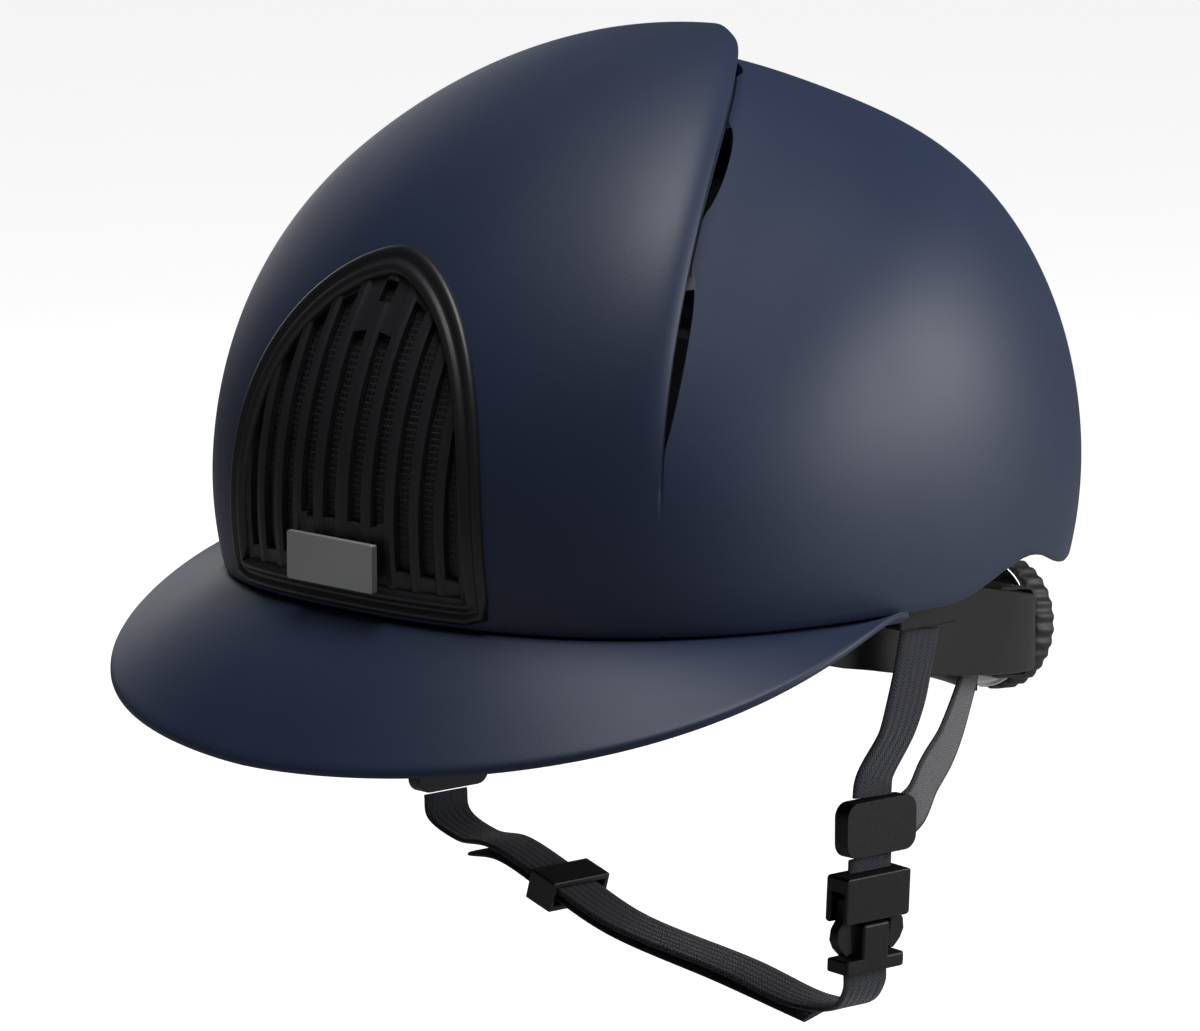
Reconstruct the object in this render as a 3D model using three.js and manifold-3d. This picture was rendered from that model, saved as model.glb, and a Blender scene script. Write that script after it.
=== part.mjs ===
// Equestrian riding helmet: shell, peak, vent grille, liner, nape cradle with a size dial, harness and buckle.
// Millimetres, +Z up. The origin is the middle of the rim plane; -Y is the front, +X the wearer's left.
import * as THREE from "three";
import { mergeVertices } from "three/addons/utils/BufferGeometryUtils.js";
import Module from "manifold-3d";

// ---- shell ----
const HALF_WIDTH = 106; // at the widest level
const FRONT_REACH = 109; // origin to the front of the shell
const REAR_REACH = 133; // origin to the back of the shell
const WIDEST_LEVEL = 26; // height of the widest level above the rim
const DOME_RISE = 116; // widest level to the crown
const FRONT_SQUARENESS = 2.6; // exponent of the front plan curve, 2 is an ellipse
const CROWN_SHIFT = 10; // the crown lies this far behind the origin
const SHELL_WALL = 3;
const SEAM_CROWN_Y = 27; // where the crown seam crosses the middle
const SEAM_SWEEP = 0.126; // how fast the crown seam sweeps forward at the sides
const FRONT_SWELL = 5; // how far the front section stands proud along the seam
const REAR_DIP = 5.5; // how far the rear section dips behind the seam
const EAR_ARCH_RISE = 8; // relief in the rim behind each ear
const EAR_ARCH_Y = 52;
const EAR_ARCH_HALF = 38;

// ---- layers inside the shell, measured in from the shell's outer face ----
const GAP = 0.7; // between two layers
const PAD_GAP = 1; // liner to pads
const LINER_DEPTH = 18; // outer face of the shell to inner face of the liner
const PAD_THICK = 6;
const LINER_RIM = 4; // the liner ends this far above the rim

// ---- front grille ----
const GRILLE_HALF_WIDTH = 50;
const GRILLE_TOP = 95;
const GRILLE_FOOT = 3;
const GRILLE_FRAME = 5; // width of the frame round the bars
const GRILLE_PROUD = 1;
const SLOT_WIDTH = 5;
const SLOT_PITCH = 9.4;
const BADGE_WIDTH = 34;
const BADGE_HEIGHT = 13;
const BADGE_THICK = 2;
const BADGE_LEVEL = 14;

// ---- peak ----
const PEAK_REACH = 49.5; // shell to the front edge of the peak
const PEAK_THICK = 2.6;
const PEAK_END = 1.56; // plan angle of each tail, radians
const PEAK_DROOP = 0.75; // slope at the front, radians

// ---- nape cradle and dial ----
const ARM_DEPTH = 21.5; // outer face of the shell to outer face of the arm, in plan
const ARM_THICK = 2;
const ARM_FLARE = 13.8; // the arms' rear ends stand this much nearer the shell's face, in plan
const DIAL_PLACE = [0, 116, -31];
const DIAL_TILT = 6; // degrees, the dial's face leans down
const HOUSING_HALF = 21;
const HOUSING_DEEP = 16;
const HOUSING_TALL = 26;
const HOUSING_WALL = 1.3;
const PINION_R = 4; // pitch radius
const PINION_TEETH = 10;
const TOOTH_HALF = 0.6; // tooth height each side of the pitch line
const SHAFT_R = PINION_R - 1; // the shaft steps down from the pinion, clear of the racks' teeth
const KNOB_R = 19;
const KNOB_DEEP = 8.6;
const RING_R = 17;
const RUNNING_GAP = 0.3;

// ---- harness ----
const WEB_WIDTH = 16;
const WEB_THICK = 1.6;
const SEAT = 0.3; // gap between two pieces that touch
const BUCKLE_PLACE = [76, 12, -88];
const CHIN_PIVOT = [-76, -4, -80];
const BUCKLE_HALF = 12; // half width of the buckle
const BUCKLE_THICK = 8;
const SOCKET_LENGTH = 13;
const TONGUE_THICK = 3.2;
const TONGUE_GAP = 0.8;

const wasm = await Module();
wasm.setup();

const helmet = new THREE.Group();
const NAVY = { color: 0x20293f, roughness: 0.55, metalness: 0 };
const BLACK = { color: 0x17181a, roughness: 0.6, metalness: 0 };
const FOAM = { color: 0x2a2b2e, roughness: 0.9, metalness: 0 };
const CLOTH = { color: 0x1c1d20, roughness: 0.95, metalness: 0 };
const WEBBING = { color: 0x24262c, roughness: 0.9, metalness: 0 };
const CHROME = { color: 0xd5d7da, roughness: 0.12, metalness: 1 };

function addPiece(name, geometry, finish, parent = helmet) {
  const piece = new THREE.Mesh(geometry, new THREE.MeshStandardMaterial(finish));
  piece.name = name;
  parent.add(piece);
  return piece;
}

// ---- solids ----
function toSolid(geometry) {
  const bare = new THREE.BufferGeometry();
  bare.setAttribute("position", geometry.getAttribute("position"));
  if (geometry.index) bare.setIndex(geometry.index);
  const merged = mergeVertices(bare, 1e-4);
  return new wasm.Manifold(
    new wasm.Mesh({
      numProp: 3,
      vertProperties: new Float32Array(merged.attributes.position.array),
      triVerts: new Uint32Array(merged.index.array),
    }),
  );
}

function toGeometry(solid) {
  const mesh = solid.getMesh();
  const geometry = new THREE.BufferGeometry();
  geometry.setAttribute("position", new THREE.BufferAttribute(mesh.vertProperties, 3));
  geometry.setIndex(new THREE.BufferAttribute(mesh.triVerts, 1));
  return geometry;
}

function cut(geometry, ...cutters) {
  return toGeometry(cutters.reduce((rest, c) => rest.subtract(toSolid(c)), toSolid(geometry)));
}

function join(geometry, ...others) {
  return toGeometry(others.reduce((sum, o) => sum.add(toSolid(o)), toSolid(geometry)));
}

function overlap(a, b) {
  return toGeometry(toSolid(a).intersect(toSolid(b)));
}

function box(xLow, xHigh, yLow, yHigh, zLow, zHigh) {
  const block = new THREE.BoxGeometry(xHigh - xLow, yHigh - yLow, zHigh - zLow);
  return block.translate((xLow + xHigh) / 2, (yLow + yHigh) / 2, (zLow + zHigh) / 2);
}

// A closed sheet between two grids of points. Columns run round the helmet and rows run up it.
function closedSheet({ columns, rows, wraps = false, pole = false, outer, inner }) {
  const points = [];
  const faces = [];
  const across = wraps ? columns : columns + 1;
  const index = [outer, inner].map((place) => {
    const grid = [];
    for (let j = 0; j <= rows; j += 1) {
      const row = [];
      const single = pole && j === rows;
      for (let i = 0; i < (single ? 1 : across); i += 1) {
        row.push(points.length);
        points.push(place(i / columns, j / rows));
      }
      grid.push((i) => row[single ? 0 : i % row.length]);
    }
    return grid;
  });
  const quad = (a, b, c, d) => {
    if (a !== b && b !== c && a !== c) faces.push(a, b, c);
    if (a !== c && c !== d && a !== d) faces.push(a, c, d);
  };
  const [out, back] = index;
  for (let j = 0; j < rows; j += 1) {
    for (let i = 0; i < columns; i += 1) {
      quad(out[j](i), out[j](i + 1), out[j + 1](i + 1), out[j + 1](i));
      quad(back[j](i), back[j + 1](i), back[j + 1](i + 1), back[j](i + 1));
    }
  }
  for (let i = 0; i < columns; i += 1) {
    quad(out[0](i), back[0](i), back[0](i + 1), out[0](i + 1));
    if (!pole) quad(out[rows](i), out[rows](i + 1), back[rows](i + 1), back[rows](i));
  }
  if (!wraps) {
    for (let j = 0; j < rows; j += 1) {
      quad(out[j](0), out[j + 1](0), back[j + 1](0), back[j](0));
      quad(out[j](columns), back[j](columns), back[j + 1](columns), out[j + 1](columns));
    }
  }
  const geometry = new THREE.BufferGeometry();
  const places = points.flatMap((p) => [p.x, p.y, p.z]);
  geometry.setAttribute("position", new THREE.Float32BufferAttribute(places, 3));
  geometry.setIndex(faces);
  return geometry;
}

// ---- the dome that every layer follows ----
const signedPower = (value, power) => Math.sign(value) * Math.abs(value) ** power;
const smoothStep = (value) => {
  const t = Math.min(1, Math.max(0, value));
  return t * t * (3 - 2 * t);
};
const RIM_RISE = -Math.asin(WIDEST_LEVEL / DOME_RISE);
const radians = THREE.MathUtils.degToRad;

// Plan angle 0 is the front and a quarter turn is the wearer's left.
// The rise runs from RIM_RISE at the rim to a quarter turn at the crown.
function domePoint(angle, rise) {
  const side = Math.sin(angle);
  const ahead = Math.cos(angle);
  const level = Math.cos(rise);
  const power = ahead > 0 ? 2 / (2 + (FRONT_SQUARENESS - 2) * level * level) : 1;
  const reach = ahead > 0 ? FRONT_REACH : REAR_REACH;
  const up = Math.sin(rise);
  return new THREE.Vector3(
    HALF_WIDTH * signedPower(side, power) * level,
    -reach * signedPower(ahead, power) * level + CROWN_SHIFT * Math.max(up, 0) ** 2,
    WIDEST_LEVEL + DOME_RISE * up,
  );
}

function domeNormal(angle, rise) {
  if (rise > Math.PI / 2 - 1e-3) return new THREE.Vector3(0, 0, 1);
  const step = 1e-3;
  const round = domePoint(angle + step, rise).sub(domePoint(angle - step, rise));
  const up = domePoint(angle, rise + step / 2).sub(domePoint(angle, rise - step));
  return round.cross(up).normalize();
}

// The dome's height over a point in plan, found by halving the rise.
function domeHeight(x, y) {
  let low = RIM_RISE;
  let high = Math.PI / 2;
  for (let i = 0; i < 30; i += 1) {
    const rise = (low + high) / 2;
    const level = Math.cos(rise);
    const along = y - CROWN_SHIFT * Math.max(Math.sin(rise), 0) ** 2;
    const power = along < 0 ? 2 + (FRONT_SQUARENESS - 2) * level * level : 2;
    const reach = along < 0 ? FRONT_REACH : REAR_REACH;
    const side = Math.abs(x) / (HALF_WIDTH * level);
    if (side ** power + (Math.abs(along) / (reach * level)) ** power < 1) low = rise;
    else high = rise;
  }
  return WIDEST_LEVEL + DOME_RISE * Math.sin(low);
}

// The dome again, with its upper rings slid back along the surface to close on the seam's crown point.
function crownedPoint(angle, rise) {
  const place = domePoint(angle, rise);
  const slide = (SEAM_CROWN_Y - CROWN_SHIFT) * smoothStep((rise - 0.7) / 0.8);
  if (slide > 0) {
    place.y += slide;
    place.z = domeHeight(place.x, place.y);
  }
  return place;
}

function crownedNormal(angle, rise) {
  const step = 1e-2;
  const base = Math.min(rise, Math.PI / 2 - 2 * step);
  const round = crownedPoint(angle + step, base).sub(crownedPoint(angle - step, base));
  const up = crownedPoint(angle, base + step / 2).sub(crownedPoint(angle, base - step));
  return rise > Math.PI / 2 - 1e-3 ? new THREE.Vector3(0, 0.03, 1).normalize() : round.cross(up).normalize();
}

const seamY = (x) => SEAM_CROWN_Y - SEAM_SWEEP * Math.abs(x) ** 1.5;

// How far the shell stands off the plain dome: proud in front of the crown seam, lower behind it.
function sectionOffset(point, inFront) {
  const behind = point.y - seamY(point.x);
  const height = smoothStep((point.z - 30) / 80);
  if (inFront) return FRONT_SWELL * Math.exp(-((behind / 50) ** 2)) * height;
  return -REAR_DIP * Math.exp(-(((behind - 35) / 50) ** 2)) * height;
}

function shellPoint(angle, rise, depth, inFront) {
  const place = crownedPoint(angle, rise);
  return place.addScaledVector(crownedNormal(angle, rise), sectionOffset(place, inFront) - depth);
}

const linerPoint = (angle, rise, depth) =>
  domePoint(angle, rise).addScaledVector(domeNormal(angle, rise), -depth);

// The plan angle of the crown seam at one rise, on the wearer's left.
function seamAngle(rise) {
  let low = 0.2;
  let high = Math.PI - 0.2;
  for (let i = 0; i < 40; i += 1) {
    const middle = (low + high) / 2;
    const place = crownedPoint(middle, rise);
    if (place.y < seamY(place.x)) low = middle;
    else high = middle;
  }
  return low;
}

const SEAM_FOOT_RISE = 0.08;
const SHELL_COLUMNS = 56;
const SHELL_ROWS = 12;
const SEAM_COLUMN = 9; // the column that lies along the seam, counted from the front
const STEP_WIDTH = 2;
const CROWN_RING = 1.53; // the rise of the last ring of points below the crown

// Rings are evenly spaced up to a small one close round the crown point.
function ringRise(v) {
  const row = Math.round(v * SHELL_ROWS);
  if (row === SHELL_ROWS) return Math.PI / 2;
  if (row === SHELL_ROWS - 1) return CROWN_RING;
  return RIM_RISE + ((1.43 - RIM_RISE) * row) / (SHELL_ROWS - 2);
}

// Columns are moved round so that one follows the seam and the next lies just behind it.
function warpedAngle(column, rise) {
  const half = SHELL_COLUMNS / 2;
  const onLeft = column <= half;
  const count = onLeft ? column : SHELL_COLUMNS - column;
  const seam = seamAngle(Math.max(rise, SEAM_FOOT_RISE));
  const radius = HALF_WIDTH * Math.cos(Math.min(rise, CROWN_RING));
  let angle;
  if (count <= SEAM_COLUMN) angle = (seam * count) / SEAM_COLUMN;
  else {
    const start = seam + Math.min(STEP_WIDTH / radius, 0.3);
    angle = start + ((Math.PI - start) * (count - SEAM_COLUMN - 1)) / (half - SEAM_COLUMN - 1);
  }
  return { angle: onLeft ? angle : -angle, inFront: count <= SEAM_COLUMN };
}

function rimHeight(y) {
  const along = Math.abs(y - EAR_ARCH_Y) / EAR_ARCH_HALF;
  return along < 1 ? EAR_ARCH_RISE * Math.cos((along * Math.PI) / 2) ** 2 : 0;
}

function shellLayer(depth, lift) {
  return (u, v) => {
    const column = Math.round(u * SHELL_COLUMNS) % SHELL_COLUMNS;
    const level = ringRise(v);
    const { angle, inFront } = warpedAngle(column, level);
    const raise = (rimHeight(domePoint(angle, RIM_RISE).y) + lift) / DOME_RISE;
    return shellPoint(angle, level + raise * (1 - v) ** 3, depth, inFront);
  };
}

// ---- shell, grille, mesh and badge ----
function archShape(halfWidth, top, foot) {
  const shape = new THREE.Shape();
  const steps = 12;
  const width = (z) => halfWidth * (1 - ((z - foot) / (top - foot)) ** 3.2) ** 0.62;
  shape.moveTo(-width(foot), foot);
  shape.lineTo(width(foot), foot);
  for (let k = 1; k < steps; k += 1) {
    const z = foot + (top - foot) * Math.sin((k / steps) * (Math.PI / 2));
    shape.lineTo(width(z), z);
  }
  shape.lineTo(0, top);
  for (let k = steps - 1; k > 0; k -= 1) {
    const z = foot + (top - foot) * Math.sin((k / steps) * (Math.PI / 2));
    shape.lineTo(-width(z), z);
  }
  return shape;
}

// A prism from an outline in X and Z, running forward from y = -40.
function forwardPrism(shape) {
  const prism = new THREE.ExtrudeGeometry(shape, { depth: FRONT_REACH, bevelEnabled: false });
  return prism.rotateX(Math.PI / 2).translate(0, -40, 0);
}

function archPrism(shrink) {
  return forwardPrism(archShape(GRILLE_HALF_WIDTH - shrink, GRILLE_TOP - shrink, GRILLE_FOOT + shrink));
}

// A cutter along the crown seam, from one plan X to another, straight through the layers.
function seamSlot(xStart, xEnd, width, reach) {
  const onSeam = (x) => {
    const y = seamY(x);
    const across = Math.hypot(x / HALF_WIDTH, (y - CROWN_SHIFT) / FRONT_REACH);
    return new THREE.Vector3(x, y, WIDEST_LEVEL + DOME_RISE * Math.sqrt(Math.max(0.02, 1 - across ** 2)));
  };
  const [start, end] = [onSeam(xStart), onSeam(xEnd)];
  const along = end.clone().sub(start);
  const length = along.length();
  const middle = start.add(end).multiplyScalar(0.5);
  const outward = middle.clone().sub(new THREE.Vector3(0, CROWN_SHIFT, WIDEST_LEVEL)).normalize();
  const across = along.normalize().clone().cross(outward).normalize();
  outward.copy(across.clone().cross(along));
  const frame = new THREE.Matrix4().makeBasis(across, along, outward).setPosition(middle);
  return new THREE.BoxGeometry(width, length, reach).applyMatrix4(frame);
}

const SEAM_SLOTS = [[10, 26], [46, 65], [73, 85]];
const seamCutters = (width, reach) =>
  SEAM_SLOTS.flatMap(([a, b]) => [seamSlot(a, b, width, reach), seamSlot(-b, -a, width, reach)]);

function makeShell() {
  const sheet = closedSheet({
    columns: SHELL_COLUMNS,
    rows: SHELL_ROWS,
    wraps: true,
    pole: true,
    outer: shellLayer(0, 0),
    inner: shellLayer(SHELL_WALL, 0),
  });
  addPiece("outer_shell", cut(sheet, archPrism(0), ...seamCutters(4, 40)), NAVY);
}

function frontSheet(outerDepth, innerDepth) {
  const place = (depth) => (u, v) => {
    const rise = RIM_RISE + 0.01 + (1.25 - RIM_RISE) * v;
    return shellPoint(-0.85 + 1.7 * u, rise, depth, true);
  };
  return closedSheet({ columns: 16, rows: 10, outer: place(outerDepth), inner: place(innerDepth) });
}

function slotPrism(x, low, high) {
  const half = SLOT_WIDTH / 2;
  const shape = new THREE.Shape();
  shape.moveTo(x - half, low);
  shape.lineTo(x + half, low);
  shape.lineTo(x + half, high - half);
  shape.lineTo(x, high);
  shape.lineTo(x - half, high - half);
  return forwardPrism(shape);
}

// Height of the grille opening's edge above a given X.
function archHeight(x) {
  const half = GRILLE_HALF_WIDTH - GRILLE_FRAME;
  const share = Math.min(1, Math.abs(x) / half);
  return GRILLE_FOOT + (GRILLE_TOP - GRILLE_FRAME - GRILLE_FOOT) * (1 - share ** (1 / 0.62)) ** (1 / 3.2);
}

function makeGrille() {
  const slots = [slotPrism(0, archHeight(0) - 16, archHeight(SLOT_WIDTH / 2) - 1)];
  const foot = GRILLE_FOOT + GRILLE_FRAME;
  for (let k = 0; k < 5; k += 1) {
    const x = SLOT_PITCH * (k + 0.5);
    const top = archHeight(x + SLOT_WIDTH / 2) - 3 - (k === 0 ? 15 : 0);
    const low = x - SLOT_WIDTH / 2 < BADGE_WIDTH / 2 + 1 ? BADGE_LEVEL + BADGE_HEIGHT / 2 + 2 : foot + 1;
    if (x + SLOT_WIDTH / 2 > GRILLE_HALF_WIDTH - GRILLE_FRAME) continue;
    slots.push(slotPrism(x, low, top), slotPrism(-x, low, top));
  }
  const skin = overlap(frontSheet(-GRILLE_PROUD, SHELL_WALL - GAP), archPrism(SEAT));
  addPiece("front_grille", cut(skin, ...slots), BLACK);
  const mesh = overlap(frontSheet(SHELL_WALL - GAP + SEAT, SHELL_WALL + GAP), archPrism(GRILLE_FRAME / 2));
  addPiece("front_mesh", mesh, BLACK);
  const back = -(FRONT_REACH + GRILLE_PROUD + SEAT);
  const half = BADGE_WIDTH / 2;
  const low = BADGE_LEVEL - BADGE_HEIGHT / 2;
  addPiece("badge_plate", box(-half, half, back - BADGE_THICK, back, low, low + BADGE_HEIGHT), CHROME);
}

// ---- peak ----
const peakWidth = (share) => PEAK_REACH * Math.max(1 - share ** 1.26, 0) ** 0.524;
const PEAK_TOP = -0.4; // the peak starts just below the shell's rim
const LIP_OUTER = SHELL_WALL + 2 * GAP; // the lip that holds the peak inside the shell
const LIP_INNER = LIP_OUTER + 2.2;
const LIP_END = 1.1;
const LIP_RISE = 13;

const PEAK_ROWS = 6;

// Row 0 is under the shell, row 1 just clear of it, and the last row is the peak's edge.
function peakPoint(angle, row, below) {
  const share = Math.abs(angle) / PEAK_END;
  const start = domePoint(angle, RIM_RISE);
  const normal = domeNormal(angle, RIM_RISE).setZ(0).normalize();
  const slope = PEAK_DROOP - 0.371 * share ** 2 - 0.912 * share ** 4;
  const width = Math.max(peakWidth(share), 3);
  const out = Math.max(0, (row - 1) / (PEAK_ROWS - 1));
  const reach = row === 0 ? -LIP_INNER : 0.8 + (width * Math.cos(slope) - 0.8) * out;
  const bulge = 2.5 * Math.sin(out * Math.PI) * (1 - share);
  start.addScaledVector(normal, reach);
  start.z += PEAK_TOP - width * Math.sin(slope) * out + bulge - below * (1 - 0.5 * share ** 4);
  return start;
}

function makePeak() {
  const place = (below) => (u, v) =>
    peakPoint(PEAK_END * (2 * u - 1), PEAK_ROWS - Math.round(PEAK_ROWS * v), below);
  const brim = closedSheet({ columns: 40, rows: PEAK_ROWS, outer: place(0), inner: place(PEAK_THICK) });
  const lipPlace = (depth) => (u, v) => {
    const point = linerPoint(LIP_END * (2 * u - 1), RIM_RISE + (LIP_RISE * v) / DOME_RISE, depth);
    return v === 0 ? point.setZ(PEAK_TOP - PEAK_THICK / 2) : point;
  };
  const lip = closedSheet({ columns: 24, rows: 2, outer: lipPlace(LIP_OUTER), inner: lipPlace(LIP_INNER) });
  addPiece("visor", join(brim, lip), NAVY);
}

// ---- liner and pads ----
function linerSheet(columns, rows, fromAngle, toAngle, fromRise, toRise, outerDepth, innerDepth) {
  const place = (depth) => (u, v) =>
    linerPoint(fromAngle + (toAngle - fromAngle) * u, fromRise + (toRise - fromRise) * v, depth);
  return closedSheet({ columns, rows, outer: place(outerDepth), inner: place(innerDepth) });
}

const riseAt = (height) => Math.asin((height - WIDEST_LEVEL) / DOME_RISE);

function makeLiner() {
  const place = (depth, follows) => (u, v) => {
    const column = Math.round(u * SHELL_COLUMNS) % SHELL_COLUMNS;
    const level = ringRise(v);
    const { angle } = warpedAngle(column, level);
    const raise = (rimHeight(domePoint(angle, RIM_RISE).y) + LINER_RIM) / DOME_RISE;
    const rise = level + raise * (1 - v) ** 3;
    if (follows) return shellPoint(angle, rise, depth, false);
    return crownedPoint(angle, rise).addScaledVector(crownedNormal(angle, rise), -depth);
  };
  const sheet = closedSheet({
    columns: SHELL_COLUMNS,
    rows: SHELL_ROWS,
    wraps: true,
    pole: true,
    outer: place(SHELL_WALL + GAP, true),
    inner: place(LINER_DEPTH, false),
  });
  const relief = linerSheet(20, 2, -1.16, 1.16, RIM_RISE - 0.05, riseAt(LIP_RISE + 3), -1, LIP_INNER + GAP);
  const pocket = overlap(frontSheet(-2, SHELL_WALL + 2 * GAP), archPrism(0));
  const holes = [1, -1].map((mirror) => {
    const hole = new THREE.CylinderGeometry(PIN_R + SEAT, PIN_R + SEAT, 12, 16).rotateZ(Math.PI / 2);
    const at = pinPlace(mirror);
    return hole.translate(at.x, at.y, at.z);
  });
  addPiece("eps_liner", cut(sheet, relief, pocket, ...holes, ...seamCutters(7, 70)), FOAM);
}

function addPad(name, fromAngle, toAngle, low, high, columns) {
  const depth = LINER_DEPTH + PAD_GAP;
  const [foot, top] = [riseAt(low), riseAt(high)];
  const sheet = linerSheet(columns, 3, fromAngle, toAngle, foot, top, depth, depth + PAD_THICK);
  addPiece(name, sheet, CLOTH);
}

function makePads() {
  addPad("headband_pad", -0.95, 0.95, 6, 38, 14);
  addPad("side_pad_left", 1.12, 1.95, 20, 50, 8);
  addPad("side_pad_right", -1.95, -1.12, 20, 50, 8);
  addPad("rear_pad", Math.PI - 0.8, Math.PI + 0.8, 10, 44, 12);
  const depth = LINER_DEPTH + PAD_GAP;
  const place = (inset) => (u, v) => linerPoint(2 * Math.PI * u, 1.05 + (Math.PI / 2 - 1.05) * v, inset);
  const crown = closedSheet({
    columns: 24, rows: 3, wraps: true, pole: true, outer: place(depth), inner: place(depth + PAD_THICK),
  });
  addPiece("crown_pad", crown, CLOTH);
}

// ---- nape cradle ----
const PIN_ANGLE = 1.42;
const PIN_LEVEL = 9;
const PIN_R = 2.4;
const CRADLE_TRAVEL = [4, 11]; // room in the arm's slot for the cradle to go back and forward
const pinPlace = (mirror) => planPoint(mirror * PIN_ANGLE, ARM_DEPTH, PIN_LEVEL);

function planPoint(angle, depth, z) {
  const place = domePoint(angle, RIM_RISE + 0.1);
  const normal = domeNormal(angle, 0).setZ(0).normalize();
  return place.addScaledVector(normal, -depth).setZ(z);
}

const ARM_FRONT_ANGLE = 1.3;
const ARM_REAR_ANGLE = Math.PI - Math.asin((HOUSING_HALF - 0.5) / HALF_WIDTH); // beside the housing
const armShare = (angle) => (angle - ARM_FRONT_ANGLE) / (ARM_REAR_ANGLE - ARM_FRONT_ANGLE);
const armMiddle = (angle) => DIAL_PLACE[2] * Math.max(0, (armShare(angle) - 0.12) / 0.88) ** 0.75;
const armHalf = (angle) => 15 - 6 * armShare(angle);
const armDepth = (angle) => ARM_DEPTH - ARM_FLARE * smoothStep((armShare(angle) - 0.2) / 0.8);

function armBand(mirror) {
  const place = (depth) => (u, v) => {
    const share = mirror > 0 ? u : 1 - u;
    const angle = ARM_FRONT_ANGLE + (ARM_REAR_ANGLE - ARM_FRONT_ANGLE) * share;
    const z = armMiddle(angle) + armHalf(angle) * (2 * v - 1);
    return planPoint(mirror * angle, armDepth(angle) + depth, z);
  };
  return closedSheet({ columns: 26, rows: 1, outer: place(0), inner: place(ARM_THICK) });
}

function makeArms() {
  for (const [side, mirror] of [["left", 1], ["right", -1]]) {
    const at = pinPlace(mirror);
    const reach = PIN_R + RUNNING_GAP;
    const [back, forward] = CRADLE_TRAVEL;
    const slot = box(at.x - 12, at.x + 12, -reach - back, reach + forward, at.z - reach, at.z + reach);
    slot.translate(0, at.y, 0);
    addPiece(`cradle_arm_${side}`, cut(armBand(mirror), slot), BLACK);
    const head = new THREE.CylinderGeometry(PIN_R + 2, PIN_R + 2, 1.4, 20);
    const post = new THREE.CylinderGeometry(PIN_R, PIN_R, 9, 20);
    head.rotateZ(Math.PI / 2).translate(at.x - mirror * (ARM_THICK + 3.2), at.y, at.z);
    post.rotateZ(Math.PI / 2).translate(at.x - mirror * (ARM_THICK + 3.2 - 4.5), at.y, at.z);
    addPiece(`cradle_pin_${side}`, join(head, post), BLACK);
  }
}

function roundedRect(width, height, radius) {
  const shape = new THREE.Shape();
  const [x, y] = [width / 2, height / 2];
  shape.moveTo(-x + radius, -y);
  shape.lineTo(x - radius, -y);
  shape.absarc(x - radius, -y + radius, radius, -Math.PI / 2, 0, false);
  shape.absarc(x - radius, y - radius, radius, 0, Math.PI / 2, false);
  shape.absarc(-x + radius, y - radius, radius, Math.PI / 2, Math.PI, false);
  shape.absarc(-x + radius, -y + radius, radius, Math.PI, Math.PI * 1.5, false);
  return shape;
}

// Solids turned about the dial's axis, which runs along the group's +Y.
function dialCylinder(radius, from, to, sides = 32) {
  return new THREE.CylinderGeometry(radius, radius, to - from, sides).translate(0, (from + to) / 2, 0);
}

function makeHousing(group) {
  const outline = roundedRect(HOUSING_TALL, HOUSING_DEEP, 4);
  const tall = HOUSING_TALL - 2 * HOUSING_WALL;
  const deep = HOUSING_DEEP - 2 * HOUSING_WALL;
  const settings = { depth: 2 * HOUSING_HALF, bevelEnabled: false, curveSegments: 3 };
  const tube = new THREE.ExtrudeGeometry(outline, settings);
  tube.rotateY(Math.PI / 2).translate(-HOUSING_HALF, HOUSING_DEEP / 2, 0);
  const middle = HOUSING_DEEP / 2;
  const reach = HOUSING_HALF + 1;
  const hollow = box(-reach, reach, middle - deep / 2, middle + deep / 2, -tall / 2, tall / 2);
  const hole = dialCylinder(SHAFT_R + RUNNING_GAP, HOUSING_DEEP / 2, HOUSING_DEEP + 1, 24);
  addPiece("dial_housing", cut(tube, hollow, hole), BLACK, group);
}

const TOOTH_PITCH = (2 * Math.PI * PINION_R) / PINION_TEETH;
const GEAR_FRONT = 7;
const GEAR_BACK = 12;

function pinionOutline() {
  const shape = new THREE.Shape();
  const root = PINION_R - TOOTH_HALF - 0.3;
  const tip = PINION_R + TOOTH_HALF;
  for (let k = 0; k < PINION_TEETH; k += 1) {
    const middle = (2 * Math.PI * k) / PINION_TEETH;
    const corners = [[root, -0.2], [tip, -0.07], [tip, 0.07], [root, 0.2]];
    for (const [r, turn] of corners) {
      const [x, y] = [r * Math.cos(middle + turn), r * Math.sin(middle + turn)];
      if (k === 0 && turn === -0.2) shape.moveTo(x, y);
      else shape.lineTo(x, y);
    }
  }
  return shape;
}

function rackOutline(from, to) {
  const shape = new THREE.Shape();
  const root = PINION_R + TOOTH_HALF + 0.3;
  const tip = PINION_R - TOOTH_HALF;
  shape.moveTo(from, root + 3);
  shape.lineTo(from, root);
  for (let k = Math.ceil((from + 1) / TOOTH_PITCH); k * TOOTH_PITCH < to - 1; k += 1) {
    const middle = k * TOOTH_PITCH;
    shape.lineTo(middle - 0.5, root);
    shape.lineTo(middle - 0.2, tip);
    shape.lineTo(middle + 0.2, tip);
    shape.lineTo(middle + 0.5, root);
  }
  shape.lineTo(to, root);
  shape.lineTo(to, root + 3);
  return shape;
}

function makeRacks(group) {
  const shape = rackOutline(-9, HOUSING_HALF - 3.5);
  const settings = { depth: GEAR_BACK - GEAR_FRONT - 1, bevelEnabled: false };
  const left = new THREE.ExtrudeGeometry(shape, settings).rotateX(Math.PI / 2);
  left.translate(0, GEAR_BACK - 0.5, 0);
  addPiece("rack_left", left, BLACK, group);
  addPiece("rack_right", left.clone().rotateY(Math.PI), BLACK, group);
}

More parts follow.
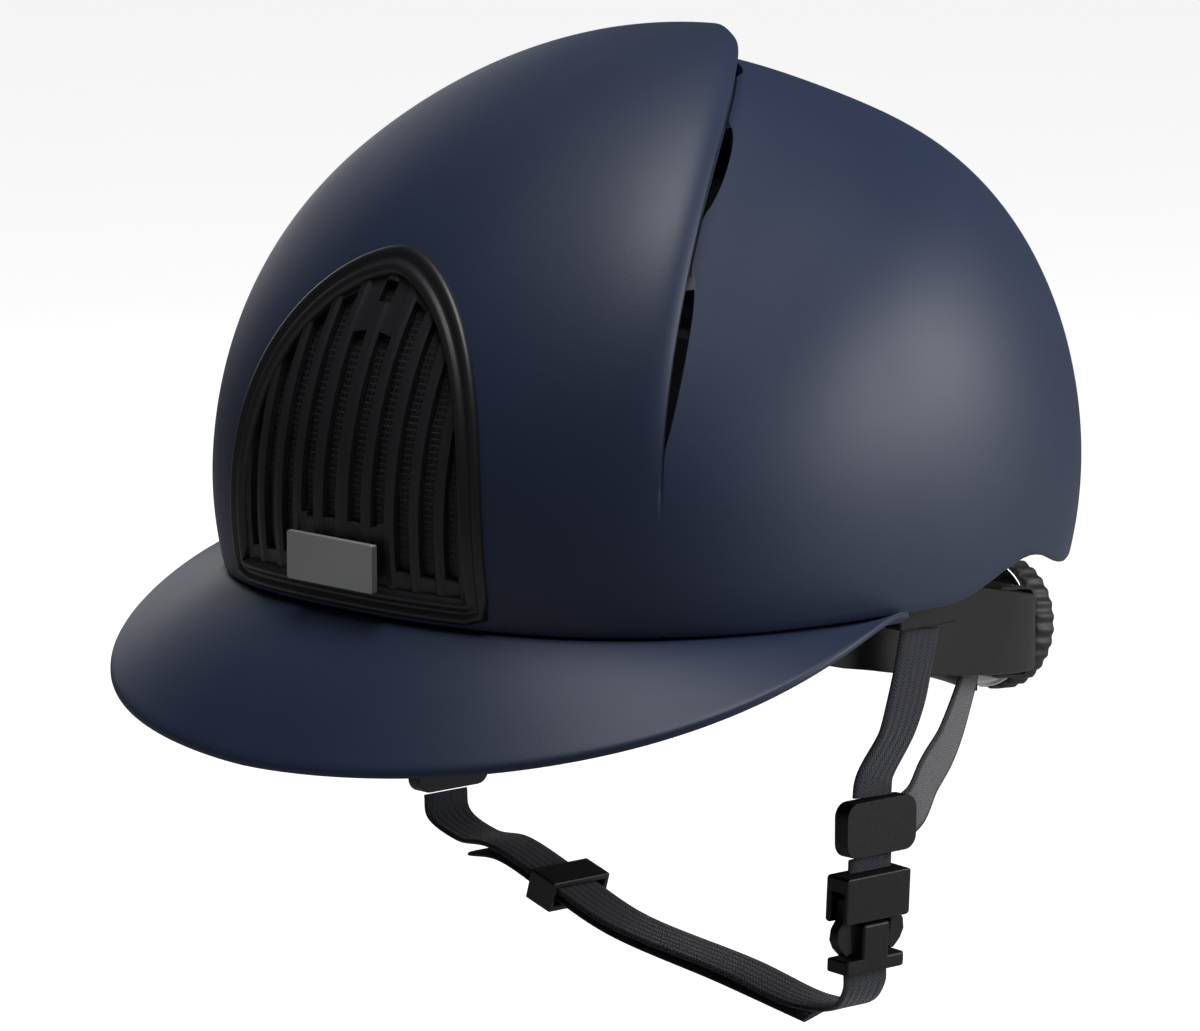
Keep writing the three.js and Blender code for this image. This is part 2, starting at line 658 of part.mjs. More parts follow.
function makeDial(group) {
  const gearDepth = { depth: GEAR_BACK - GEAR_FRONT, bevelEnabled: false };
  const gear = new THREE.ExtrudeGeometry(pinionOutline(), gearDepth);
  gear.rotateX(Math.PI / 2).translate(0, GEAR_BACK, 0);
  const knobFront = HOUSING_DEEP + 3.8;
  const shaft = dialCylinder(SHAFT_R, GEAR_FRONT + 1, knobFront + 3 - SEAT, 24);
  addPiece("dial_pinion", join(gear, shaft), BLACK, group);
  const outline = new THREE.Shape();
  const lobes = 20;
  const steps = lobes * 4;
  for (let k = 0; k < steps; k += 1) {
    const turn = (2 * Math.PI * k) / steps;
    const r = KNOB_R - 0.7 + 0.7 * Math.cos(lobes * turn);
    if (k === 0) outline.moveTo(r, 0);
    else outline.lineTo(r * Math.cos(turn), r * Math.sin(turn));
  }
  const disc = new THREE.ExtrudeGeometry(outline, { depth: KNOB_DEEP, bevelEnabled: false });
  disc.rotateX(Math.PI / 2).translate(0, knobFront + KNOB_DEEP, 0);
  const hub = dialCylinder(9, HOUSING_DEEP + 0.5, knobFront + 1);
  const bore = dialCylinder(SHAFT_R + SEAT, HOUSING_DEEP - 1, knobFront + 3, 24);
  const dish = dialCylinder(KNOB_R - 5, knobFront + KNOB_DEEP - 1.5, knobFront + KNOB_DEEP + 1);
  addPiece("dial_knob", cut(join(disc, hub), bore, dish), BLACK, group);
  const ring = cut(
    dialCylinder(RING_R, knobFront - 2.8, knobFront - SEAT),
    dialCylinder(9 + SEAT, HOUSING_DEEP, knobFront),
  );
  addPiece("dial_trim_ring", ring, CHROME, group);
}

function makeNape() {
  const group = new THREE.Group();
  group.position.set(...DIAL_PLACE);
  group.rotation.x = -radians(DIAL_TILT);
  helmet.add(group);
  makeHousing(group);
  makeRacks(group);
  makeDial(group);
  const plateBack = DIAL_PLACE[1] - SEAT - 2;
  const place = (depth) => (u, v) => {
    const angle = Math.PI - 0.42 + 0.84 * u;
    const z = DIAL_PLACE[2] + 13 * (2 * v - 1);
    const point = planPoint(angle, ARM_DEPTH + ARM_THICK + SEAT + depth, z);
    point.y = Math.min(point.y, plateBack - depth);
    return point;
  };
  const sheet = (near, far) => closedSheet({ columns: 14, rows: 2, outer: place(near), inner: place(far) });
  addPiece("nape_plate", sheet(0, 2), BLACK);
  addPiece("nape_pad", sheet(2 + SEAT, 2 + SEAT + PAD_THICK), CLOTH);
}

// ---- harness ----
// A flat strap along a smooth curve through points; across gives the direction of its width at each end.
function strap(points, across, width = WEB_WIDTH, thick = WEB_THICK, steps = 12) {
  const curve = new THREE.CatmullRomCurve3(points.map((p) => new THREE.Vector3(...p)));
  const [startAcross, endAcross] = across.map((a) => new THREE.Vector3(...a).normalize());
  const edge = (sideSign, faceSign, share) => {
    const centre = curve.getPointAt(share);
    const along = curve.getTangentAt(share);
    const wide = startAcross.clone().lerp(endAcross, share);
    wide.addScaledVector(along, -wide.dot(along)).normalize();
    const face = along.clone().cross(wide).normalize();
    return centre.addScaledVector(wide, (sideSign * width) / 2).addScaledVector(face, (faceSign * thick) / 2);
  };
  return closedSheet({
    columns: 1,
    rows: steps,
    outer: (u, v) => edge(2 * u - 1, -1, v),
    inner: (u, v) => edge(2 * u - 1, 1, v),
  });
}

const Y_AXIS = [0, 1, 0];
const DIVIDER = { left: [78, 13, -62.5], right: [-77, -2, -66] };
const DIVIDER_TALL = 15;
const DIVIDER_WIDE = 26;
const STRAP_TOP = { x: HALF_WIDTH - 13, y: 14, z: -7 }; // under the liner's rim

function makeSideStraps(side, mirror) {
  const [x, y, z] = DIVIDER[side];
  const top = z + DIVIDER_TALL / 2 + 0.8;
  const front = strap(
    [[mirror * STRAP_TOP.x, STRAP_TOP.y, STRAP_TOP.z], [mirror * (STRAP_TOP.x - 2), STRAP_TOP.y - 1, -20],
      [x + mirror * 5, y + 3, z + 26], [x + mirror * 0.6, y - 1.3, top + 5], [x, y - 1.5, top]],
    [Y_AXIS, Y_AXIS],
  );
  addPiece(`front_strap_${side}`, front, WEBBING);
  const rear = strap(
    [[mirror * 64, 65.5, 1], [mirror * 63, 66, -10], [mirror * 62.5, 66, -24], [mirror * 64, 60, -36.5],
      [mirror * 69, 49, -46.5], [mirror * 74, 37, -53], [x - mirror * 0.4, y + DIVIDER_WIDE / 2 + 2.2, z + 3]],
    [[mirror * -0.5, 0.85, 0], [0, 0.45, -0.9]],
    WEB_WIDTH - 3,
    WEB_THICK,
    16,
  );
  addPiece(`rear_strap_${side}`, rear, WEBBING);
  const plate = new THREE.ExtrudeGeometry(roundedRect(DIVIDER_WIDE, DIVIDER_TALL, 4), {
    depth: 5, bevelEnabled: false, curveSegments: 3,
  });
  plate.rotateX(Math.PI / 2).rotateZ(Math.PI / 2).translate(x - 2.5, y, z);
  addPiece(`divider_${side}`, plate, BLACK);
  const anchorX = mirror * (STRAP_TOP.x + 0.5);
  const [near, far] = [STRAP_TOP.y - 11, STRAP_TOP.y + 11];
  const anchor = box(anchorX - 3, anchorX + 3, near, far, STRAP_TOP.z + 0.9, LINER_RIM);
  addPiece(`strap_anchor_${side}`, anchor, BLACK);
  const rearAnchor = box(-3, 3, -9, 9, 2.8, 14).rotateZ(mirror * 0.58).translate(mirror * 65, 65.5, 0);
  addPiece(`rear_anchor_${side}`, rearAnchor, BLACK);
}

// The buckle's own frame: X out of its face, Y its width, Z up into the socket.
const buckleFrame = (() => {
  const middle = new THREE.Vector3(...BUCKLE_PLACE);
  const pivot = new THREE.Vector3(...CHIN_PIVOT).setY(middle.y);
  const face = middle.clone().sub(pivot).normalize();
  const width = new THREE.Vector3(...Y_AXIS);
  return new THREE.Matrix4().makeBasis(face, width, face.clone().cross(width)).setPosition(middle);
})();
const inBuckle = (x, y, z) => new THREE.Vector3(x, y, z).applyMatrix4(buckleFrame).toArray();

const PLUG_BASE = 10; // the plug's base ends this far below the socket's mouth
const PLUG_BAR = 4;
const PRONG_TIP = 7; // how far tongue and prongs reach into the socket

function makeSocket(group) {
  const half = BUCKLE_THICK / 2;
  const block = box(-half, half, -BUCKLE_HALF, BUCKLE_HALF, 0, SOCKET_LENGTH);
  const slot = TONGUE_THICK / 2 + TONGUE_GAP;
  const hollow = box(-slot, slot, -BUCKLE_HALF - 2, BUCKLE_HALF + 2, -1, PRONG_TIP + 1.5);
  addPiece("buckle_socket", cut(block, hollow), BLACK, group);
}

function makePlug(group) {
  const half = BUCKLE_THICK / 2;
  const thin = TONGUE_THICK / 2;
  const core = box(-half, half, -5, 5, -PLUG_BASE, -0.6);
  const bar = box(-half, half, -BUCKLE_HALF + 1, BUCKLE_HALF - 1, -PLUG_BASE - PLUG_BAR, -PLUG_BASE);
  const tongue = box(-thin, thin, -3, 3, -1, PRONG_TIP);
  addPiece("buckle_plug", join(core, bar, tongue), BLACK, group);
  for (const [side, mirror] of [["front", -1], ["rear", 1]]) {
    const outline = new THREE.Shape();
    outline.moveTo(6.4, -PLUG_BASE + SEAT + 1);
    outline.lineTo(9, -PLUG_BASE + SEAT + 0.3);
    outline.lineTo(11.5, -PLUG_BASE + 3);
    outline.lineTo(12.8, -4.5);
    outline.lineTo(12.4, -1.5);
    outline.lineTo(10.5, 1);
    outline.lineTo(10, PRONG_TIP);
    outline.lineTo(7.4, PRONG_TIP);
    outline.lineTo(7.4, 0);
    const prong = new THREE.ExtrudeGeometry(outline, { depth: TONGUE_THICK, bevelEnabled: false });
    prong.rotateX(Math.PI / 2).rotateZ(Math.PI / 2).translate(-thin, 0, 0);
    if (mirror < 0) prong.rotateX(Math.PI).scale(1, 1, -1);
    addPiece(`release_prong_${side}`, mirror < 0 ? flipped(prong) : prong, BLACK, group);
  }
}

// A mirrored geometry has its faces turned back out.
function flipped(geometry) {
  const position = geometry.getAttribute("position");
  for (let k = 0; k < position.count; k += 3) {
    const b = new THREE.Vector3().fromBufferAttribute(position, k + 1);
    const c = new THREE.Vector3().fromBufferAttribute(position, k + 2);
    position.setXYZ(k + 1, c.x, c.y, c.z);
    position.setXYZ(k + 2, b.x, b.y, b.z);
  }
  return geometry;
}

const KEEPER_PLACE = [-22, -7, -91];
const KEEPER_ALONG = new THREE.Vector3(30, 0, -9).normalize();
const LAYER_PITCH = WEB_THICK + 0.5;
const plugFoot = -PLUG_BASE - PLUG_BAR - 0.7;

function alongKeeper(distance, drop = 0) {
  const place = new THREE.Vector3(...KEEPER_PLACE).addScaledVector(KEEPER_ALONG, distance);
  return [place.x, place.y, place.z - drop];
}

function makeChinStrap() {
  const [px, py, pz] = CHIN_PIVOT;
  const start = [px, py, DIVIDER.right[2] - DIVIDER_TALL / 2 - SEAT - 0.4];
  const main = strap(
    [start, [px + 1, py, pz], [px + 14, py - 1, pz - 4.4], alongKeeper(-25), alongKeeper(0), alongKeeper(25),
      [36, 2, -106.5], [58, 9, -113.5], [70.5, 12, -112.5], inBuckle(0, 0, plugFoot - 4),
      inBuckle(0, 0, plugFoot)],
    [Y_AXIS, Y_AXIS], WEB_WIDTH, WEB_THICK, 30,
  );
  addPiece("chin_strap", main, WEBBING);
  const tail = strap(
    [[60, 9.5, -116.6], [36, 2, -106.5 - LAYER_PITCH - 0.6], alongKeeper(25, LAYER_PITCH),
      alongKeeper(0, LAYER_PITCH), alongKeeper(-22, LAYER_PITCH), alongKeeper(-34, LAYER_PITCH + 4)],
    [Y_AXIS, Y_AXIS], WEB_WIDTH, WEB_THICK, 20,
  );
  addPiece("strap_tail", tail, WEBBING);
  const [tall, wide, wall] = [2 * WEB_THICK + 0.5 + 1.6, WEB_WIDTH + 1.6, 1.8];
  const ring = cut(
    box(-5, 5, -wide / 2 - wall, wide / 2 + wall, -tall / 2 - wall, tall / 2 + wall),
    box(-6, 6, -wide / 2, wide / 2, -tall / 2, tall / 2),
  );
  const frame = new THREE.Matrix4().makeBasis(
    KEEPER_ALONG, new THREE.Vector3(...Y_AXIS), KEEPER_ALONG.clone().cross(new THREE.Vector3(...Y_AXIS)),
  );
  frame.setPosition(KEEPER_PLACE[0], KEEPER_PLACE[1], KEEPER_PLACE[2] - LAYER_PITCH / 2);
  addPiece("strap_keeper", ring.applyMatrix4(frame), BLACK);
}

function makeBuckle() {
  const group = new THREE.Group();
  group.applyMatrix4(buckleFrame);
  helmet.add(group);
  makeSocket(group);
  makePlug(group);
  const ends = [SOCKET_LENGTH + 0.4, SOCKET_LENGTH + 4].map((height) => inBuckle(0, 0, height));
  const link = strap(ends, [Y_AXIS, Y_AXIS]);
  addPiece("buckle_strap", link, WEBBING);
}

makeShell();
makeGrille();
makePeak();
makeLiner();
makePads();
makeArms();
makeNape();
makeSideStraps("left", 1);
makeSideStraps("right", -1);
makeBuckle();
makeChinStrap();

export default helmet;
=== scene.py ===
import math
import random

import bpy
from mathutils import Matrix, Vector


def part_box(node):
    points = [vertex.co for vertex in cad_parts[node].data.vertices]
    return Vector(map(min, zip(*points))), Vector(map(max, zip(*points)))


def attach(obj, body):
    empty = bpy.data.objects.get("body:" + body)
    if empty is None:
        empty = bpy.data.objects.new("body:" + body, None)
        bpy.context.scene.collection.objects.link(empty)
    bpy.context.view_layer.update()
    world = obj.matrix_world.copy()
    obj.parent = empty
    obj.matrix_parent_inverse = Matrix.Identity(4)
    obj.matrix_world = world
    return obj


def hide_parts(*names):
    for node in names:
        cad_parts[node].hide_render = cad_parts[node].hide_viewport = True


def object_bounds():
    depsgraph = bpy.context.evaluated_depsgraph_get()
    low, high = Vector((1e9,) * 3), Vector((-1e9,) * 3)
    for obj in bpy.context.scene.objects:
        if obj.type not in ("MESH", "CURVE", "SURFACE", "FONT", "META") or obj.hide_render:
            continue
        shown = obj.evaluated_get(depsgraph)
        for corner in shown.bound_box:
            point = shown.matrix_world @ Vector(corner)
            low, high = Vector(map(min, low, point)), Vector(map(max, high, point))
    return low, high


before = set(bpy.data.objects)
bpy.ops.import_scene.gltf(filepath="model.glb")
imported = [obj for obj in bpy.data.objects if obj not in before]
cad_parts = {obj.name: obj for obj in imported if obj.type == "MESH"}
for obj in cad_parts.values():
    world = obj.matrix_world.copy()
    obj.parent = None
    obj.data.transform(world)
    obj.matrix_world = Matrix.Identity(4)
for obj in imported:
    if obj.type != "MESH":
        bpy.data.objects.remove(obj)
cad_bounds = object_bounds()

# ---- Outer shell ----
# A moulded plastic shell about 3 mm thick, lacquered matte navy. Its front section stands proud of the
# rear one along a swept crown seam, where six vent slots open. The rim is rolled, with a relief behind
# each ear.
MM = 0.001
HALF_WIDTH, FRONT_REACH, REAR_REACH = 106.0, 109.0, 133.0
WIDEST_LEVEL, DOME_RISE = 26.0, 116.0
SQUARENESS = 0.6
CROWN_SHIFT, SEAM_CROWN_Y, SEAM_SWEEP = 10.0, 27.0, 0.126
FRONT_SWELL, REAR_DIP = 5.0, 5.5
SHELL_WALL = 3.0
RIM_RISE = -math.asin(WIDEST_LEVEL / DOME_RISE)
EAR_ARCH_Y, EAR_ARCH_HALF, EAR_ARCH_RISE = 52.0, 38.0, 8.0
SHELL_FRONT_COLUMNS, SHELL_REAR_COLUMNS, SHELL_RINGS = 62, 58, 92
SEAM_EDGE = [-8.0, -5.5, -3.6, -2.2, -1.2, -0.5, 0.0]
SEAM_SLOTS = [(9.0, 26.0), (45.5, 65.5), (73.0, 86.0)]
SLOT_WIDTH = 3.2
GRILLE_HALF_WIDTH, GRILLE_TOP, GRILLE_FOOT = 50.0, 95.0, 3.0


def smooth_step(value):
    t = min(1.0, max(0.0, value))
    return t * t * (3 - 2 * t)


def signed_power(value, power):
    return math.copysign(abs(value) ** power, value)


def dome_point(angle, rise):
    side, ahead, level, up = math.sin(angle), math.cos(angle), math.cos(rise), math.sin(rise)
    power = 2 / (2 + SQUARENESS * level * level) if ahead > 0 else 1.0
    reach = FRONT_REACH if ahead > 0 else REAR_REACH
    return Vector((
        HALF_WIDTH * signed_power(side, power) * level,
        -reach * signed_power(ahead, power) * level + CROWN_SHIFT * max(up, 0.0) ** 2,
        WIDEST_LEVEL + DOME_RISE * up,
    ))


def dome_height(x, y):
    low, high = RIM_RISE, math.pi / 2
    for _ in range(26):
        rise = (low + high) / 2
        level = math.cos(rise)
        along = y - CROWN_SHIFT * max(math.sin(rise), 0.0) ** 2
        power = 2 + SQUARENESS * level * level if along < 0 else 2.0
        reach = FRONT_REACH if along < 0 else REAR_REACH
        inside = (abs(x) / (HALF_WIDTH * level)) ** power + (abs(along) / (reach * level)) ** power < 1
        low, high = (rise, high) if inside else (low, rise)
    return WIDEST_LEVEL + DOME_RISE * math.sin(low)


def crowned_point(angle, rise):
    place = dome_point(angle, rise)
    slide = (SEAM_CROWN_Y - CROWN_SHIFT) * smooth_step((rise - 0.7) / 0.8)
    if slide > 0:
        place.y += slide
        place.z = dome_height(place.x, place.y)
    return place


def surface_normal(surface, angle, rise, step=0.006):
    base = min(rise, math.pi / 2 - 3 * step)
    around = surface(angle + step, base) - surface(angle - step, base)
    up = surface(angle, base + step) - surface(angle, base - step)
    return around.cross(up).normalized()


def seam_y(x):
    return SEAM_CROWN_Y - SEAM_SWEEP * abs(x) ** 1.5


def seam_angle(rise):
    low, high = 0.2, math.pi - 0.2
    for _ in range(22):
        middle = (low + high) / 2
        place = crowned_point(middle, rise)
        low, high = (middle, high) if place.y < seam_y(place.x) else (low, middle)
    return low


def section_offset(place, in_front):
    behind = place.y - seam_y(place.x)
    height = smooth_step((place.z - 30) / 80)
    if in_front:
        return FRONT_SWELL * math.exp(-((behind / 50) ** 2)) * height
    return -REAR_DIP * math.exp(-(((behind - 35) / 50) ** 2)) * height


def rim_height(y):
    along = abs(y - EAR_ARCH_Y) / EAR_ARCH_HALF
    return EAR_ARCH_RISE * math.cos(along * math.pi / 2) ** 2 if along < 1 else 0.0


def arch_half(z, half=GRILLE_HALF_WIDTH, top=GRILLE_TOP, foot=GRILLE_FOOT):
    share = min(1.0, max(0.0, (z - foot) / (top - foot)))
    return half * (1 - share ** 3.2) ** 0.62


def grid_solid(name, outer, inner, keep=None, wraps=False, capped=False, uv=None):
    """A closed sheet between two grids of points in mm, with walls round each cell that is left out."""
    rows, across = len(outer), len(outer[0])
    cells = across if wraps else across - 1
    present = [[keep is None or keep(i, j) for i in range(cells)] for j in range(rows - 1)]
    number, points, faces, grid_corners = {}, [], [], []

    def vertex(side, i, j):
        key = (side, i % across if wraps else i, j)
        if key not in number:
            number[key] = len(points)
            points.append((outer if side == 0 else inner)[key[2]][key[1]] * MM)
        return number[key]

    def add(corners):
        faces.append([vertex(*c) for c in corners])
        grid_corners.append(corners)

    def is_present(i, j):
        if not 0 <= j < rows - 1:
            return capped and j == rows - 1
        if wraps:
            i %= across
        return 0 <= i < cells and present[j][i]

    for j in range(rows - 1):
        for i in range(cells):
            if not present[j][i]:
                continue
            add([(0, i, j), (0, i + 1, j), (0, i + 1, j + 1), (0, i, j + 1)])
            add([(1, i, j), (1, i, j + 1), (1, i + 1, j + 1), (1, i + 1, j)])
            for di, dj, a, b in ((0, -1, (i, j), (i + 1, j)), (1, 0, (i + 1, j), (i + 1, j + 1)),
                                 (0, 1, (i + 1, j + 1), (i, j + 1)), (-1, 0, (i, j + 1), (i, j))):
                if not is_present(i + di, j + dj):
                    add([(0, *b), (0, *a), (1, *a), (1, *b)])
    if capped:
        add([(0, i, rows - 1) for i in range(across)])
        add([(1, i, rows - 1) for i in reversed(range(across))])
    mesh = bpy.data.meshes.new(name)
    mesh.from_pydata(points, [], faces)
    if uv:
        layer = mesh.uv_layers.new(name="along")
        for polygon, corners in zip(mesh.polygons, grid_corners):
            for loop, corner in zip(polygon.loop_indices, corners):
                layer.data[loop].uv = uv(*corner)
    for polygon in mesh.polygons:
        polygon.use_smooth = True
    mesh.validate()
    piece = bpy.data.objects.new(name, mesh)
    bpy.context.scene.collection.objects.link(piece)
    mesh.set_sharp_from_angle(angle=math.radians(42))
    return piece


def slot_width(x):
    """Each slot is leaf shaped: widest in the middle and pointed at both ends."""
    for low, high in SEAM_SLOTS:
        if low < x < high:
            return SLOT_WIDTH * (1 - abs(2 * (x - low) / (high - low) - 1) ** 2.4) ** 0.7
    return 0.0


def shell_columns(ring_rise):
    """Plan angle, section and seam distance of each column on the wearer's left, front to back."""
    seam = seam_angle(max(ring_rise, 0.08))
    radius = HALF_WIDTH * max(math.cos(ring_rise), 0.01)
    room = min(1.0, 0.25 * radius / 8.0)
    width = max(slot_width(crowned_point(seam, ring_rise).x), 0.25)
    seam_foot = [0.3, 0.7, 0.7 + width, 1.3 + width]
    columns = []
    edge_start = seam + SEAM_EDGE[0] * room * 1.15 / radius
    for i in range(SHELL_FRONT_COLUMNS - len(SEAM_EDGE) + 1):
        columns.append((edge_start * i / (SHELL_FRONT_COLUMNS - len(SEAM_EDGE) + 1), True, -99.0))
    columns += [(seam + s * room * 1.15 / radius, True, s) for s in SEAM_EDGE]
    columns += [(seam + s * room * 1.15 / radius, False, s) for s in seam_foot]
    rear_start = columns[-1][0]
    for i in range(1, SHELL_REAR_COLUMNS + 1):
        columns.append((rear_start + (math.pi - rear_start) * i / SHELL_REAR_COLUMNS, False, 99.0))
    return columns


def shell_place(angle, rise, in_front, s, depth):
    place = crowned_point(angle, rise)
    fade = smooth_step((place.z - 34) / 45)
    offset = section_offset(place, in_front)
    if in_front and s > -90:
        offset -= 1.6 * fade * ((8 + s) / 8) ** 3
    if not in_front and s < 0.8:
        offset -= 0.8 * smooth_step((place.z - 30) / 30)
    return place + surface_normal(crowned_point, angle, rise) * (offset - depth)


def shell_ring(j, inside):
    """One ring of points: rings 0 to 2 roll round the rim, the last is close round the crown."""
    rolled = [(1.0, 0.0), (0.3, 0.35), (0.0, 1.0)]
    depth, lift = rolled[min(j, 2)]
    if inside:
        depth = SHELL_WALL - depth
    share = max(0, j - 2) / (SHELL_RINGS - 3)
    rise = RIM_RISE + (1.5695 - RIM_RISE) * share
    half = []
    for angle, in_front, s in shell_columns(rise):
        raised = rim_height(dome_point(angle, RIM_RISE).y) * (1 - share) ** 3
        ring_rise = rise + (raised + lift * (1 - share) ** 3) / DOME_RISE
        half.append(shell_place(angle, ring_rise, in_front, s, depth))
    mirrored = [Vector((-p.x, p.y, p.z)) for p in half[-2:0:-1]]
    return half + mirrored


shell_outer = [shell_ring(j, False) for j in range(SHELL_RINGS)]
shell_inner = [shell_ring(j, True) for j in range(SHELL_RINGS)]
SLOT_COLUMN = SHELL_FRONT_COLUMNS + 2
SHELL_ACROSS = len(shell_outer[0])


def seam_column(i):
    return min(i, SHELL_ACROSS - 1 - i) == SLOT_COLUMN


def shell_keeps(i, j):
    corner = shell_outer[j][i]
    opposite = shell_outer[j + 1][(i + 1) % SHELL_ACROSS]
    centre = (corner + opposite) / 2
    if seam_column(i) and any(low < abs(centre.x) < high for low, high in SEAM_SLOTS):
        return False
    return not (centre.y < -40 and abs(centre.x) < arch_half(centre.z, 46.5, 91.5, 6.0) and centre.z > 6.5)


shell = grid_solid("shell_fine", shell_outer, shell_inner, shell_keeps, wraps=True, capped=True)
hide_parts("outer_shell")
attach(shell, "helmet")


def node_group(name, inputs, outputs):
    group = bpy.data.node_groups.new(name, "ShaderNodeTree")
    for label, kind, value in inputs:
        socket = group.interface.new_socket(label, in_out="INPUT", socket_type=kind)
        if value is not None:
            socket.default_value = value
    for label, kind in outputs:
        group.interface.new_socket(label, in_out="OUTPUT", socket_type=kind)
    return group, group.nodes.new("NodeGroupInput"), group.nodes.new("NodeGroupOutput")


def add_node(tree, kind, settings=None, **inputs):
    node = tree.nodes.new(kind)
    for key, value in (settings or {}).items():
        setattr(node, key, value)
    for key, value in inputs.items():
        socket = node.inputs[int(key[1:])] if key[0] == "n" and key[1:].isdigit() else node.inputs[key.replace("_", " ")]
        if isinstance(value, bpy.types.NodeSocket):
            tree.links.new(value, socket)
        else:
            socket.default_value = value
    return node


# A fine all-over grain: small bumps for the normal, and a slow cloudiness for colour and roughness.
grain_group, grain_in, grain_out = node_group(
    "moulded_grain",
    [("Vector", "NodeSocketVector", None), ("Grain per metre", "NodeSocketFloat", 900.0),
     ("Height", "NodeSocketFloat", 0.1), ("Cloud per metre", "NodeSocketFloat", 14.0)],
    [("Normal", "NodeSocketVector"), ("Cloud", "NodeSocketFloat"), ("Speck", "NodeSocketFloat")],
)
grain_noise = add_node(grain_group, "ShaderNodeTexNoise", Vector=grain_in.outputs["Vector"],
                       Scale=grain_in.outputs["Grain per metre"], Detail=2.0)
grain_cloud = add_node(grain_group, "ShaderNodeTexNoise", Vector=grain_in.outputs["Vector"],
                       Scale=grain_in.outputs["Cloud per metre"], Detail=3.0)
grain_bump = add_node(grain_group, "ShaderNodeBump", Strength=grain_in.outputs["Height"], Distance=0.0002,
                      Height=grain_noise.outputs["Fac"])
grain_group.links.new(grain_bump.outputs["Normal"], grain_out.inputs["Normal"])
grain_group.links.new(grain_cloud.outputs["Fac"], grain_out.inputs["Cloud"])
grain_group.links.new(grain_noise.outputs["Fac"], grain_out.inputs["Speck"])


def grained_material(name, dark, light, roughness, spread, grain, height, cloud=14.0, **shader):
    """A lacquer or plastic: colour drifts between two tones and roughness with it, under a fine grain."""
    material = bpy.data.materials.new(name)
    material.use_nodes = True
    tree = material.node_tree
    surface = tree.nodes["Principled BSDF"]
    place = add_node(tree, "ShaderNodeTexCoord")
    skin = add_node(tree, "ShaderNodeGroup", {"node_tree": grain_group}, Vector=place.outputs["Object"],
                    Grain_per_metre=grain, Height=height, Cloud_per_metre=cloud)
    tone = add_node(tree, "ShaderNodeMapRange", Value=skin.outputs["Cloud"], From_Min=0.3, From_Max=0.7)
    colour = add_node(tree, "ShaderNodeMix", {"data_type": "RGBA"}, Factor=tone.outputs["Result"],
                      n6=(*dark, 1), n7=(*light, 1))
    rough = add_node(tree, "ShaderNodeMapRange", Value=skin.outputs["Cloud"], From_Min=0.3, From_Max=0.7,
                     To_Min=roughness - spread, To_Max=roughness + spread)
    tree.links.new(colour.outputs[2], surface.inputs["Base Color"])
    tree.links.new(rough.outputs["Result"], surface.inputs["Roughness"])
    tree.links.new(skin.outputs["Normal"], surface.inputs["Normal"])
    for label, value in shader.items():
        surface.inputs[label.replace("_", " ")].default_value = value
    return material


navy_lacquer = grained_material("navy_lacquer", (0.0120, 0.0228, 0.0580), (0.0138, 0.0260, 0.0660), 0.52, 0.03,
                                1400.0, 0.12)
moulded_black = grained_material("moulded_black", (0.0042, 0.0044, 0.0050), (0.0062, 0.0065, 0.0072), 0.48, 0.06,
                                 1100.0, 0.25, Specular_IOR_Level=0.28)
shell.data.materials.append(navy_lacquer)

# ---- Peak ----
# One curved moulding in the same lacquer, widest in front and tapering to a tail at each side. It is
# fixed under the rim by a lip inside the shell.
PEAK_END, PEAK_REACH, PEAK_THICK, PEAK_DROOP, PEAK_TOP = 1.56, 49.5, 2.6, 0.753, -0.4
PEAK_COLUMNS = 130
LIP_OUTER, LIP_INNER, LIP_END, LIP_RISE = 4.4, 6.6, 1.1, 13.0


def peak_place(angle, out, below):
    share = abs(angle) / PEAK_END
    start = dome_point(angle, RIM_RISE)
    normal = surface_normal(dome_point, angle, RIM_RISE)
    normal.z = 0
    normal.normalize()
    slope = PEAK_DROOP - 0.371 * share ** 2 - 0.912 * share ** 4
    width = max(PEAK_REACH * max(1 - share ** 1.26, 0) ** 0.524, 3.0)
    inward = max(0.0, -out)
    out = max(0.0, out)
    reach = -LIP_INNER * inward if inward else 0.8 + (width * math.cos(slope) - 0.8) * out
    bulge = 2.5 * math.sin(out * math.pi) * (1 - share)
    place = start + normal * reach
    place.z += PEAK_TOP - width * math.sin(slope) * out + bulge - below * (1 - 0.5 * share ** 4)
    return place


def peak_row(profile, below):
    row = []
    for i in range(PEAK_COLUMNS + 1):
        angle = PEAK_END * (2 * i / PEAK_COLUMNS - 1)
        row.append(peak_place(angle, profile, below))
    return row


# Rows run from under the shell to the edge, where the two faces round into each other.
peak_outs = [-1.0, -0.45, 0.0, 0.03, 0.08, 0.16, 0.26, 0.38, 0.5, 0.62, 0.74, 0.84, 0.92, 0.965, 0.985, 0.996, 1.0]
peak_round = {0.965: 0.0, 0.985: 0.12, 0.996: 0.42, 1.0: 0.85}
peak_top = [peak_row(o, peak_round.get(o, 0.0)) for o in reversed(peak_outs)]
peak_under = [peak_row(o, PEAK_THICK - peak_round.get(o, 0.0)) for o in reversed(peak_outs)]
peak = grid_solid("peak_fine", peak_top, peak_under)
peak.data.materials.append(navy_lacquer)
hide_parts("visor")
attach(peak, "helmet")


def lip_row(depth, share):
    row = []
    for i in range(61):
        angle = LIP_END * (2 * i / 60 - 1)
        rise = RIM_RISE + LIP_RISE * share / DOME_RISE
        place = dome_point(angle, rise) - surface_normal(dome_point, angle, rise) * depth
        if share == 0:
            place.z = PEAK_TOP - PEAK_THICK / 2
        row.append(place)
    return row


peak_lip = grid_solid("peak_lip", [lip_row(LIP_OUTER, s) for s in (0, 0.5, 1)],
                      [lip_row(LIP_INNER, s) for s in (0, 0.5, 1)])
peak_lip.data.materials.append(navy_lacquer)
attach(peak_lip, "helmet")

